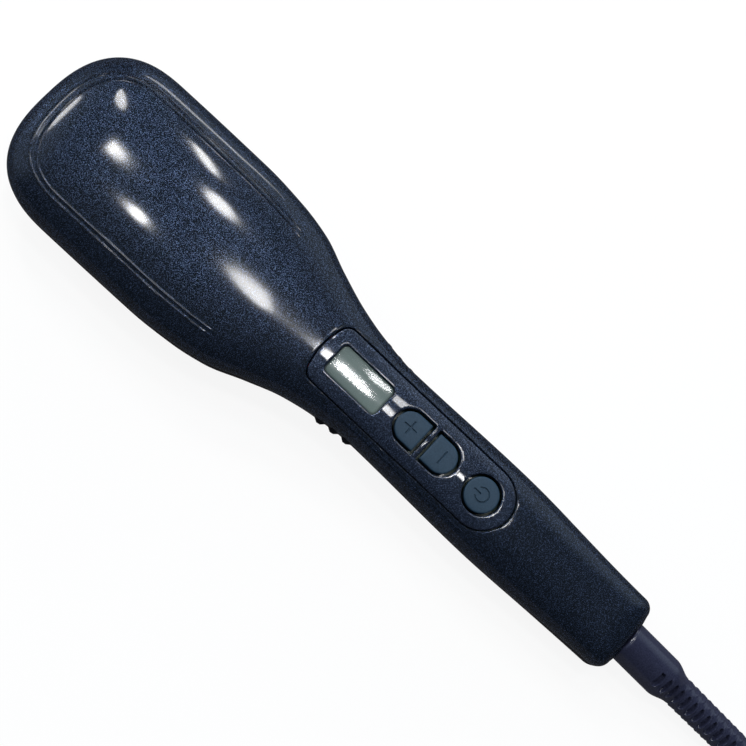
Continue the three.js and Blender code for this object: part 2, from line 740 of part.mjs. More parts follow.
const seatTop = (x) => undersideAt(x) + SCREW_SINK + SCREW_HEAD_HEIGHT;
const wellTop = (x) => seatTop(x) + 2 * GAP + WELL_FLOOR;
const screwTip = (x) => seatTop(x) + SCREW_LENGTH;

// Body under one skin at half the wall, which trims bosses, posts and cradles that join it
const boundary = (side) => solid(skinSolid(side, WALL / 2, COARSE_SHARES, BOUNDARY_SKIRT));

function coverBosses() {
  return ALL_SCREWS.map(([x, y]) => (
    rod(x, y, wellTop(x) + GAP, topAt(x), BOSS_RADIUS)
  ));
}

// Posts inside the cover that hold the heater stack down
function stackPosts() {
  const [low, high] = [STACK.shieldTop + GAP, topAt(STACK_START)];
  return HOLD_POST.shares.flatMap((share) => {
    const x = STACK_START + share * CLAMP_LENGTH;
    return [-1, 1].map((side) => (
      rod(x, (side * HOLD_POST.spread) / 2, low, high, HOLD_POST.radius, HOLD_POST.sides)
    ));
  });
}

// Levels of the heater stack, upwards from the frame's ledge
const STACK = (() => {
  const plateBottom = HEAD_FLOOR + WALL + GAP;
  const plateTop = plateBottom + PLATE_THICKNESS;
  const heaterBottom = plateTop + GAP;
  const heaterTop = heaterBottom + HEATER_THICKNESS;
  const clampBottom = heaterTop + GAP;
  const clampTop = clampBottom + CLAMP_THICKNESS;
  const sheetBottom = clampTop + GAP;
  const sheetTop = sheetBottom + SHEET_THICKNESS;
  const shieldBottom = sheetTop + GAP;
  const shieldTop = shieldBottom + SHIELD_THICKNESS;
  return {
    plateBottom,
    plateTop,
    heaterBottom,
    heaterTop,
    clampBottom,
    clampTop,
    sheetBottom,
    sheetTop,
    shieldBottom,
    shieldTop,
  };
})();

// Centre of the handle's end, where the swivel's axis comes out
const exit = new THREE.Group();
exit.position.set(BODY_LENGTH, 0, END_PARTING);
exit.rotation.y = SWIVEL_PITCH;
exit.updateMatrix();

function sleeveHole() {
  const [low, high, radius] = [SLEEVE_ROOT - SLEEVE_CLEARANCE, SLEEVE_RADIUS, SLEEVE_RADIUS + GAP];
  return turnedX([[low, 0], [low, radius], [high, radius], [high, 0]]).applyMatrix4(exit.matrix);
}

// Cross wall in a shell that cradles the swivel's bush
const BUSH_BACK = BUSH_FRONT - 2 * BUSH_LIP - FLANGE_THICKNESS - 2 * GAP;

function bushCradle(side) {
  const middle = (BUSH_FRONT + BUSH_BACK) / 2;
  const parting = partingAt(BODY_LENGTH + middle) + side * 2 * GAP;
  const [low, high] = side > 0 ? [parting, BEYOND] : [-BEYOND, parting];
  const half = CRADLE_THICKNESS / 2;
  const slab = block([middle - half, -BEYOND, -BEYOND], [middle + half, BEYOND, BEYOND]);
  const wall = solid(slab.applyMatrix4(exit.matrix))
    .intersect(solid(block([0, -BEYOND, low], [BODY_LENGTH, BEYOND, high])));
  const bore = solid(turnedX([
    [BUSH_BACK, 0], [BUSH_BACK, BUSH_RADIUS + GAP],
    [BUSH_FRONT, BUSH_RADIUS + GAP], [BUSH_FRONT, 0],
  ]).applyMatrix4(exit.matrix));
  return wall.intersect(boundary(side)).subtract(bore);
}

function backCover() {
  const outer = solid(skinSolid(1, 0, FINE_SHARES));
  let cover = outer.subtract(solid(skinSolid(1, WALL, COARSE_SHARES, SKIRT)));
  const within = boundary(1);
  for (const boss of [...coverBosses(), ...stackPosts()]) {
    cover = cover.add(solid(boss).intersect(within));
  }
  cover = cover.add(bushCradle(1));
  for (const [x, y] of ALL_SCREWS) {
    cover = cover.subtract(solid(rod(x, y, 0, screwTip(x) + GAP, SCREW_RADIUS + GAP)));
  }
  const panelPrism = (grow) => solid(prism(panelShape(grow), DEEP, -DEEP, PANEL_SEGMENTS));
  const pocket = panelPrism(GAP).subtract(deckSkin(PANEL_THICKNESS + GAP));
  const through = panelPrism(-PANEL_LEDGE);
  const opening = solid(geometryOf(pocket.add(through)).applyMatrix4(fromDeck));
  cover = cover.subtract(opening).subtract(solid(sleeveHole()));
  return piece('back_cover', geometryOf(cover), 'gloss');
}

// Lower half of the body as one shell, before it is parted into head frame and grip shell
function lowerHalf() {
  const inner = solid(skinSolid(-1, WALL, COARSE_SHARES, SKIRT));
  let shell = solid(skinSolid(-1, 0, LOWER_SHARES));
  const proud = solid(skinSolid(-1, -RIB_HEIGHT, LOWER_SHARES));
  for (let i = 0; i < RIB_COUNT; i += 1) {
    const start = RIB_START + i * RIB_PITCH;
    const top = partingAt(start) - RIB_HEIGHT;
    const slab = block([start, -BEYOND, -BEYOND], [start + RIB_WIDTH, BEYOND, top]);
    shell = shell.add(proud.intersect(solid(slab)));
  }
  shell = shell.subtract(inner);
  const within = boundary(-1);
  for (const [x, y] of ALL_SCREWS) {
    const boss = rod(x, y, undersideAt(x), wellTop(x), BOSS_RADIUS);
    shell = shell.add(solid(boss).intersect(within));
  }
  for (const post of boardPosts()) shell = shell.add(solid(post).intersect(within));
  shell = shell.add(bushCradle(-1));
  for (const [x, y] of ALL_SCREWS) {
    const seat = seatTop(x) + GAP;
    shell = shell.subtract(solid(rod(x, y, -BEYOND, seat, SCREW_HEAD_RADIUS + GAP)));
    shell = shell.subtract(solid(rod(x, y, -BEYOND, BEYOND, SCREW_RADIUS + GAP)));
    shell = shell.subtract(solid(rod(x, y, wellTop(x), BEYOND, BOSS_RADIUS + GAP)));
  }
  return shell;
}

// Posts on the grip shell that carry the circuit board
function boardPosts() {
  const slope = Math.tan(deck.rotation.y);
  return BOARD_POST_SHARES.map((share) => {
    const along = BOARD_START + share * BOARD_LENGTH;
    const under = new THREE.Vector3(along, 0, BOARD_BOTTOM - GAP).applyMatrix4(fromDeck);
    return rod(under.x, 0, floorAt(under.x), under.z - slope * BOARD_POST_RADIUS, BOARD_POST_RADIUS);
  });
}

// Outline of the heating plate in plan: the head's outline moved in, cut off square
function plateShape(inset, end) {
  const loop = outline(inset).filter((point) => point.x < end);
  const halfEnd = halfWidthAt(end) - inset;
  const last = loop.findIndex((point) => point.y < 0);
  const points = loop.map((point) => new THREE.Vector2(point.x, point.y));
  points.splice(last, 0, new THREE.Vector2(end, halfEnd), new THREE.Vector2(end, -halfEnd));
  return new THREE.Shape(points);
}

function lowerShells() {
  const whole = lowerHalf();
  const headSide = solid(block([-BEYOND, -BEYOND, HEAD_FLOOR], [SEAM_STATION, BEYOND, BEYOND]));
  const gripSide = solid(block([SEAM_STATION + GAP, -BEYOND, 0], [2 * BODY_LENGTH, BEYOND, BEYOND]));
  const ledge = plateShape(PLATE_INSET + PLATE_LEDGE, PLATE_END - PLATE_LEDGE);
  const opening = solid(prism(ledge, 0, BEYOND));
  const seat = plateShape(PLATE_INSET - GAP, PLATE_END + GAP);
  const recess = solid(prism(seat, STACK.plateBottom - GAP, BEYOND));
  const frame = whole.intersect(headSide).subtract(opening).subtract(recess);
  const grip = whole.intersect(gripSide).subtract(solid(sleeveHole()));
  return [
    piece('head_frame', geometryOf(frame), 'grip'),
    piece('grip_shell', geometryOf(grip), 'grip'),
  ];
}

function screwPieces() {
  const screw = () => turnedZ([
    [0, 0], [0, SCREW_HEAD_RADIUS],
    [SCREW_HEAD_HEIGHT, SCREW_HEAD_RADIUS], [SCREW_HEAD_HEIGHT, SCREW_RADIUS],
    [SCREW_HEAD_HEIGHT + SCREW_LENGTH, SCREW_RADIUS], [SCREW_HEAD_HEIGHT + SCREW_LENGTH, 0],
  ]);
  const place = (kind) => ([x, y], i) => {
    const mesh = piece(`${kind}_screw_${i + 1}`, screw(), 'steel');
    mesh.position.set(x, y, undersideAt(x) + SCREW_SINK);
    return mesh;
  };
  return HANDLE_SCREWS.map(place('handle')).concat(HEAD_SCREWS.map(place('head')));
}

// A row of teeth is one strip: a rail under the plate and tapered teeth with ball tips
function toothRow(index) {
  const station = FIRST_ROW + index * ROW_PITCH;
  const railTop = STACK.plateBottom - GAP;
  const railBottom = railTop - RAIL_HEIGHT;
  const shape = outline(PLATE_INSET + PLATE_LEDGE + GAP);
  const half = widthAtStation(shape, station - RAIL_WIDTH / 2) - GAP;
  const perSide = Math.floor((half - TOOTH_ROOT_RADIUS) / TOOTH_PITCH);
  let row = solid(block([-RAIL_WIDTH / 2, -half, railBottom], [RAIL_WIDTH / 2, half, railTop]));
  const rootTop = railBottom + RAIL_HEIGHT / 2;
  for (let i = -perSide; i <= perSide; i += 1) {
    const tooth = turnedZ([
      [0, 0], [0, TOOTH_TIP_RADIUS * TOOTH_FLAT_SHARE], [TOOTH_TIP_RADIUS, TOOTH_TIP_RADIUS],
      [TOOTH_TIP_RADIUS * TOOTH_TAPER_SHARE, TOOTH_NECK_RADIUS],
      [rootTop, TOOTH_ROOT_RADIUS], [rootTop, 0],
    ], TOOTH_SIDES);
    row = row.add(solid(tooth.translate(0, i * TOOTH_PITCH, 0)));
  }
  const mesh = piece(`tooth_row_${index + 1}`, geometryOf(row), 'teeth');
  mesh.position.x = station;
  return mesh;
}

// Half width of an outline at a station, on its +Y side
function widthAtStation(loop, station) {
  const side = loop.filter((point) => point.y > 0);
  for (let i = 0; i < side.length - 1; i += 1) {
    if (side[i].x <= station && side[i + 1].x > station) {
      const share = (station - side[i].x) / (side[i + 1].x - side[i].x);
      return THREE.MathUtils.lerp(side[i].y, side[i + 1].y, share);
    }
  }
  return 0;
}

const HEATER_START = STACK_START + HEATER_OFFSET;

function heaterPieces() {
  const stack = STACK;
  const plate = prism(plateShape(PLATE_INSET, PLATE_END), stack.plateBottom, stack.plateTop);
  const heaterHalf = HEATER_WIDTH / 2;
  const heaters = [-1, 1].map((side, i) => {
    const y = (side * HEATER_SPREAD) / 2;
    const bar = block(
      [HEATER_START, y - heaterHalf, stack.heaterBottom],
      [HEATER_START + HEATER_LENGTH, y + heaterHalf, stack.heaterTop],
    );
    return piece(`heater_element_${i + 1}`, bar, 'ceramic');
  });
  const layer = (low, high, margin) => block(
    [STACK_START - margin, -CLAMP_WIDTH / 2 - margin, low],
    [STACK_START + CLAMP_LENGTH + margin, CLAMP_WIDTH / 2 + margin, high],
  );
  const afterStack = STACK_START + CLAMP_LENGTH + 2 * SHEET_MARGIN + FUSE_OFFSET;
  const fuse = cylinderX(FUSE_LENGTH, FUSE_RADIUS)
    .translate(afterStack, 2 * FUSE_RADIUS, stack.plateTop + GAP + FUSE_RADIUS);
  const sensor = block(
    [afterStack, -1.5 * SENSOR_SIZE, stack.plateTop + GAP],
    [afterStack + SENSOR_SIZE, -SENSOR_SIZE / 2, stack.plateTop + GAP + SENSOR_SIZE / 2],
  );
  return [
    piece('heating_plate', plate, 'plate'),
    ...heaters,
    piece('clamp_plate', layer(stack.clampBottom, stack.clampTop, 0), 'steel'),
    piece('insulation_sheet', layer(stack.sheetBottom, stack.sheetTop, SHEET_MARGIN), 'mica'),
    piece('heat_shield', layer(stack.shieldBottom, stack.shieldTop, 2 * SHEET_MARGIN), 'steel'),
    piece('thermal_fuse', fuse, 'steel'),
    piece('temperature_sensor', sensor, 'ceramic'),
  ];
}

// Tube along a hand-chosen route
function tube(points, radius, sides, steps) {
  const vertices = points.map((point) => new THREE.Vector3(...point));
  const curve = new THREE.CatmullRomCurve3(vertices, false, 'centripetal');
  const section = new THREE.Shape();
  for (let i = 0; i < sides; i += 1) {
    const angle = ((i + 0.5) / sides) * 2 * Math.PI;
    const [x, y] = [radius * Math.cos(angle), radius * Math.sin(angle)];
    if (i === 0) section.moveTo(x, y);
    else section.lineTo(x, y);
  }
  return new THREE.ExtrudeGeometry(section, { steps, extrudePath: curve, bevelEnabled: false });
}

// Leads inside the body, from the heaters to the connector
function innerLeads() {
  const start = HEATER_START + HEATER_LENGTH + GAP;
  const level = (STACK.heaterBottom + STACK.heaterTop) / 2;
  const intoX = BOARD_START + CONNECTOR.fromStart - GAP;
  const intoZ = BOARD_BOTTOM - GAP - CONNECTOR.height / 2;
  const into = new THREE.Vector3(intoX, 0, intoZ).applyMatrix4(fromDeck);
  return [-1, 1].map((side, i) => {
    const y = (side * HEATER_SPREAD) / 2;
    const route = [
      [start, y, level],
      [start + HEATER_LEAD.straight, y, level + HEATER_LEAD.rise / 5],
      [start + HEATER_LEAD.bend, y * 0.9, level + HEATER_LEAD.rise],
      [into.x - HEATER_LEAD.runIn, y * 0.7, into.z + HEATER_LEAD.rise / 6],
      [into.x, y * 0.6, into.z],
    ];
    const lead = tube(route, HEATER_LEAD.radius, HEATER_LEAD.sides, HEATER_LEAD.steps);
    return piece(`heater_lead_${i + 1}`, lead, 'wire');
  });
}

// Swivel: a rubber boot that turns in a split bush, with slip rings inside the handle
const FLANGE_FRONT = BUSH_FRONT - BUSH_LIP - GAP;
const FLANGE_BACK = FLANGE_FRONT - FLANGE_THICKNESS;
const STUB_END = FLANGE_BACK - STUB_LENGTH;
const BOOT_LENGTH = SLEEVE_LENGTH + RELIEF_LENGTH;
const RELIEF_END_RADIUS = RELIEF_RADIUS - RELIEF_TAPER;

function swivelBoot() {
  const body = turnedX([
    [STUB_END, 0], [STUB_END, STUB_RADIUS],
    [FLANGE_BACK, STUB_RADIUS], [FLANGE_BACK, FLANGE_RADIUS],
    [FLANGE_FRONT, FLANGE_RADIUS], [FLANGE_FRONT, SHAFT_RADIUS], [SLEEVE_ROOT, SHAFT_RADIUS],
    [SLEEVE_ROOT, SLEEVE_RADIUS], [SLEEVE_LENGTH - SHOULDER_LENGTH, SLEEVE_RADIUS],
    [SLEEVE_LENGTH - SHOULDER_LENGTH / 2, SLEEVE_RADIUS - SHOULDER_ROUND],
    [SLEEVE_LENGTH, RELIEF_RADIUS],
    [BOOT_LENGTH, RELIEF_END_RADIUS], [BOOT_LENGTH, 0],
  ], BOOT_SEGMENTS);
  let boot = solid(body);
  const slotCount = Math.floor((RELIEF_LENGTH - 2 * SLOT_LENGTH) / SLOT_PITCH);
  for (let i = 0; i < slotCount; i += 1) {
    const x = SLEEVE_LENGTH + SLOT_LENGTH + i * SLOT_PITCH;
    boot = boot.subtract(slotPair(x, RELIEF_RADIUS, 'z'));
    boot = boot.subtract(slotPair(x + SLOT_PITCH / 2, RELIEF_RADIUS, 'y'));
  }
  for (let i = 1; i <= SHOULDER_SLOTS; i += 1) {
    const radius = SLEEVE_RADIUS - SHOULDER_SLOT_DROP * (SHOULDER_SLOTS - i);
    boot = boot.subtract(slotPair(SLEEVE_LENGTH - i * SLOT_PITCH, radius, 'z'));
  }
  return piece('swivel_boot', geometryOf(boot), 'rubber');
}

// Two opposite slots across the boot, top and bottom or on both sides
function slotPair(x, radius, axis) {
  const [low, high] = [x - SLOT_LENGTH / 2, x + SLOT_LENGTH / 2];
  const deep = radius - SLOT_DEPTH;
  const half = SLOT_WIDTH / 2;
  const slots = [-1, 1].map((side) => {
    const [near, out] = side > 0 ? [deep, BEYOND] : [-BEYOND, -deep];
    return axis === 'z'
      ? block([low, -half, near], [high, half, out])
      : block([low, near, -half], [high, out, half]);
  });
  return solid(slots[0].rotateX(SLOT_ROLL)).add(solid(slots[1].rotateX(SLOT_ROLL)));
}

function ringX(low, high, inner, outer) {
  return turnedX([[low, inner], [low, outer], [high, outer], [high, inner], [low, inner]]);
}

function swivelBush() {
  const bore = SHAFT_RADIUS + GAP;
  const cavity = FLANGE_RADIUS + GAP;
  const ring = solid(turnedX([
    [BUSH_BACK, bore], [BUSH_BACK, BUSH_RADIUS], [BUSH_FRONT, BUSH_RADIUS], [BUSH_FRONT, bore],
    [FLANGE_FRONT + GAP, bore], [FLANGE_FRONT + GAP, cavity],
    [FLANGE_BACK - GAP, cavity], [FLANGE_BACK - GAP, bore], [BUSH_BACK, bore],
  ]));
  const upper = solid(block([-BEYOND, -BEYOND, GAP / 2], [BEYOND, BEYOND, BEYOND]));
  const lower = solid(block([-BEYOND, -BEYOND, -BEYOND], [BEYOND, BEYOND, -GAP / 2]));
  return [
    piece('swivel_bush_upper', geometryOf(ring.intersect(upper)), 'white'),
    piece('swivel_bush_lower', geometryOf(ring.intersect(lower)), 'white'),
  ];
}

const SLIP_RINGS = [0, 1].map((i) => FLANGE_BACK - SLIP_RING_FIRST - i * SLIP_RING_PITCH);

function slipRings() {
  const half = SLIP_RING_WIDTH / 2;
  return SLIP_RINGS.map((x, i) => {
    const ring = ringX(x - half, x + half, STUB_RADIUS + GAP, SLIP_RING_RADIUS);
    return piece(`slip_ring_${i + 1}`, ring, 'brass');
  });
}

// Block on the handle's floor with a spring blade under each slip ring
function contactPieces() {
  const bladeTop = -(SLIP_RING_RADIUS + GAP);
  const blockTop = bladeTop - CONTACT.height;
  const carrier = block(
    [SLIP_RINGS[1] - CONTACT.margin, -CONTACT.halfWidth, blockTop - CONTACT.height],
    [SLIP_RINGS[0] + CONTACT.margin, CONTACT.halfWidth, blockTop],
  );
  const blades = SLIP_RINGS.map((x, i) => {
    const blade = block(
      [x - CONTACT.bladeHalfLength, -CONTACT.bladeReach, blockTop + GAP],
      [x + CONTACT.bladeHalfLength, CONTACT.bladeReach, bladeTop],
    );
    return piece(`contact_blade_${i + 1}`, blade, 'brass');
  });
  return [piece('contact_block', carrier, 'white'), ...blades];
}

// Route of the coil: it spirals in over the first layer, climbs in a half turn and spirals
// out again over the second
function coilRoute() {
  const perLayer = COIL_TURNS_PER_LAYER * COIL_STEPS_PER_TURN;
  const climb = COIL_STEPS_PER_TURN / 2;
  const count = 2 * perLayer + climb;
  const points = [];
  for (let i = 0; i <= count; i += 1) {
    const inward = Math.min(i, perLayer);
    const outward = Math.max(i - perLayer - climb, 0);
    const climbed = THREE.MathUtils.clamp((i - perLayer) / climb, 0, 1);
    const radius = COIL_RADIUS + (COIL_PITCH * (outward - inward)) / COIL_STEPS_PER_TURN
      - COIL_CLIMB_TUCK * Math.sin(climbed * Math.PI);
    const angle = COIL_START_ANGLE - (2 * Math.PI * i) / COIL_STEPS_PER_TURN;
    const height = CORD_DIAMETER / 2 + COIL_PITCH * climbed;
    points.push(new THREE.Vector3(
      COIL_CENTRE.x + radius * Math.cos(angle),
      COIL_CENTRE.y + radius * Math.sin(angle),
      height,
    ));
  }
  const straight = (angle) => (
    new THREE.Vector3(Math.sin(angle), -Math.cos(angle), 0).multiplyScalar(CORD_DIAMETER)
  );
  const endAngle = COIL_START_ANGLE - (2 * Math.PI * count) / COIL_STEPS_PER_TURN;
  points.unshift(points[0].clone().sub(straight(COIL_START_ANGLE)));
  points.push(points[points.length - 1].clone().add(straight(endAngle)));
  return points;
}

// Tube along a list of points, its rings square to the route
function woundTube(points, radius) {
  const sides = COIL_SIDES;
  const up = new THREE.Vector3(0, 0, 1);
  const rows = points.map((point, i) => {
    const before = points[Math.max(i - 1, 0)];
    const after = points[Math.min(i + 1, points.length - 1)];
    const along = after.clone().sub(before).normalize();
    const across = along.clone().cross(up).normalize();
    const over = across.clone().cross(along);
    return Array.from({ length: sides }, (unused, k) => {
      const angle = ((k + 0.5) / sides) * 2 * Math.PI;
      const corner = point.clone().addScaledVector(across, radius * Math.cos(angle));
      return corner.addScaledVector(over, radius * Math.sin(angle)).toArray();
    });
  });
  const closed = (point) => Array.from({ length: sides }, () => point.toArray());
  return gridSolid([closed(points[0]), ...rows, closed(points[points.length - 1])]);
}

// Least gap between two turns of a wound tube, measured on the points of its route
function leastGap(points, radius) {
  let least = Infinity;
  const apart = COIL_STEPS_PER_TURN / 2;
  for (let i = 0; i < points.length; i += 1) {
    for (let j = i + apart; j < points.length; j += 1) {
      least = Math.min(least, points[i].distanceTo(points[j]));
    }
  }
  return least - 2 * radius;
}

function routeLength(points) {
  return points.slice(1).reduce((total, point, i) => total + point.distanceTo(points[i]), 0);
}

function cordPieces() {
  const radius = CORD_DIAMETER / 2;
  const coil = coilRoute();
  const asVectors = (route) => route.map((point) => new THREE.Vector3(...point));
  const routes = [coil, asVectors(LEAD_ROUTE), asVectors(TAIL_ROUTE)];
  const total = routes.map(routeLength).reduce((a, b) => a + b);
  const gap = leastGap(coil, radius);
  console.log(`cord length ${total.toFixed(0)} mm, least gap in the coil ${gap.toFixed(2)} mm`);
  return [
    piece('cord_lead', tube(LEAD_ROUTE, radius, CORD_SIDES, CORD_STEPS), 'rubber'),
    piece('cord_coil', woundTube(coil, radius), 'rubber'),
    piece('cord_tail', tube(TAIL_ROUTE, radius, CORD_SIDES, CORD_STEPS), 'rubber'),
  ];
}

// Flat two-pin plug that lies on its side beside the coil, its pins towards -Y
function plugPieces() {
  const half = PLUG_WIDTH / 2;
  const shape = new THREE.Shape();
  shape.moveTo(-PLUG_NECK_RADIUS, 0);
  const waist = half * PLUG_WAIST_SHARE;
  const flare = -PLUG_LENGTH * PLUG_FLARE_SHARE;
  const shoulder = -PLUG_LENGTH * PLUG_SHOULDER_SHARE;
  shape.quadraticCurveTo(-waist, flare, -half, shoulder);
  shape.lineTo(-half, -PLUG_LENGTH);
  shape.lineTo(half, -PLUG_LENGTH);
  shape.lineTo(half, shoulder);
  shape.quadraticCurveTo(waist, flare, PLUG_NECK_RADIUS, 0);
  const body = new THREE.ExtrudeGeometry(shape, {
    depth: PLUG_HEIGHT - 2 * PLUG_BEVEL,
    bevelThickness: PLUG_BEVEL,
    bevelSize: PLUG_BEVEL,
    bevelOffset: -PLUG_BEVEL,
    bevelSegments: 1,
    curveSegments: CORNER_SEGMENTS,
  }).translate(0, 0, PLUG_BEVEL - PLUG_HEIGHT / 2);
  const pinTop = -(PLUG_LENGTH + GAP);
  const pins = [-1, 1].map((side, i) => {
    const pin = turnedZ([
      [0, 0], [0, PIN_RADIUS], [PIN_LENGTH - PIN_RADIUS, PIN_RADIUS],
      [PIN_LENGTH, PIN_RADIUS / 2], [PIN_LENGTH, 0],
    ]).rotateX(Math.PI / 2).translate((side * PIN_SPACING) / 2, pinTop, 0);
    return piece(`plug_pin_${i + 1}`, pin, 'brass');
  });
  const plug = new THREE.Group();
  plug.position.copy(PLUG_PLACE);
  plug.add(piece('plug_body', body, 'rubber'), ...pins);
  return plug;
}

// The cord's routes are measured from the centre of the handle's end, on the ground
const cordGroup = new THREE.Group();
cordGroup.position.x = BODY_LENGTH;
cordGroup.add(...cordPieces(), plugPieces());

deck.add(controlPanel(), ...displayPieces(), ...boardPieces());
deck.add(...BUTTONS.flatMap(buttonPieces), ...BUTTONS.map(switchCan));
exit.add(swivelBoot(), ...swivelBush(), ...slipRings(), ...contactPieces());

// The origin is under the middle of the brush and its strain relief
const brush = new THREE.Group();
const bootReach = BOOT_LENGTH * Math.cos(SWIVEL_PITCH) + RELIEF_END_RADIUS * Math.sin(SWIVEL_PITCH);
brush.position.x = -(BODY_LENGTH + bootReach) / 2;
brush.add(backCover(), ...lowerShells(), ...screwPieces(), ...heaterPieces(), ...innerLeads());
for (let i = 0; i < ROW_COUNT; i += 1) brush.add(toothRow(i));
brush.add(deck, exit, cordGroup);

export default brush;
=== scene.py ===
"""Heated styling brush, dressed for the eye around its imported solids.

Sizes are in millimetres. A station is a distance along the brush from the head's tip. The head
points to -X, the cord leaves towards +X, the controls face +Z and the teeth face -Z.
"""

from __future__ import annotations

import logging
import math
from dataclasses import dataclass, field
from enum import Enum
from typing import Callable, Iterable, Sequence

import bpy
import numpy as np
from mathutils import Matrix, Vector
from mathutils.geometry import delaunay_2d_cdt

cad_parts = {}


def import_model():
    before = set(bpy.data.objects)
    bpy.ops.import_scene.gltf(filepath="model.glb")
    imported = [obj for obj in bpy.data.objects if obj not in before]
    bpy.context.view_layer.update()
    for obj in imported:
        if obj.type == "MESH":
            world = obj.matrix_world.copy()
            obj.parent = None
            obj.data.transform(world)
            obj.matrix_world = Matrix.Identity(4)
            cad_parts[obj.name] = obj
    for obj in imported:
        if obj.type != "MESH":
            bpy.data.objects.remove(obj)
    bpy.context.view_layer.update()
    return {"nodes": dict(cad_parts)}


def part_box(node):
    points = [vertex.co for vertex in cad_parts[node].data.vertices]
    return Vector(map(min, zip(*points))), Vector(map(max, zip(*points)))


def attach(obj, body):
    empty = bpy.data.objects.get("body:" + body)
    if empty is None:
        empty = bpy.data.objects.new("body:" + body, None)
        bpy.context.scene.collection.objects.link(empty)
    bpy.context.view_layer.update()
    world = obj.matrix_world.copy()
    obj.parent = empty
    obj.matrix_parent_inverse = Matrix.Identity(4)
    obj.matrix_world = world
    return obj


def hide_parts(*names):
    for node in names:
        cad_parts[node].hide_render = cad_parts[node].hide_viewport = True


LOG = logging.getLogger("styling_brush")
# Metres in a millimetre, and the gap at the seams in millimetres
MM = 0.001
GAP = 0.3
Array = np.ndarray
Height = Callable[[Array, Array], Array]
Place = tuple[float, float, float]


# Curves and the body's form


class Line:
    """Monotone cubic curve through (station, value) points, level beyond both ends."""

    def __init__(self, points: Sequence[tuple[float, float]]) -> None:
        """Works out the slope at each point.

        Args:
            points: stations and values, stations rising.
        """
        table = np.array(points, dtype=float)
        self.at, self.value = table[:, 0], table[:, 1]
        slope = np.diff(self.value) / np.diff(self.at)
        before, after = slope[:-1], slope[1:]
        total = np.where(before + after == 0, 1.0, before + after)
        inner = np.where(before * after <= 0, 0.0, 2 * before * after / total)
        self.slope = np.concatenate([[0.0], inner, [0.0]])

    def __call__(self, station: Array | float) -> Array:
        """Value at each station: a cubic blend of the two nearest points and their slopes.

        Args:
            station: one station or an array of them.

        Returns:
            The curve's value at each.
        """
        x = np.clip(np.asarray(station, dtype=float), self.at[0], self.at[-1])
        i = np.clip(np.searchsorted(self.at, x) - 1, 0, len(self.at) - 2)
        span = self.at[i + 1] - self.at[i]
        u = (x - self.at[i]) / span
        rise = u * u * (3 - 2 * u)
        bend = self.slope[i] * (1 - u) - self.slope[i + 1] * u
        return self.value[i] * (1 - rise) + self.value[i + 1] * rise + span * u * (1 - u) * bend


def smoothstep(x: Array, low: float, high: float) -> Array:
    """Smooth 0 to 1 step between low and high: u squared times (3 - 2u)."""
    u = np.clip((x - low) / (high - low), 0, 1)
    return u * u * (3 - 2 * u)


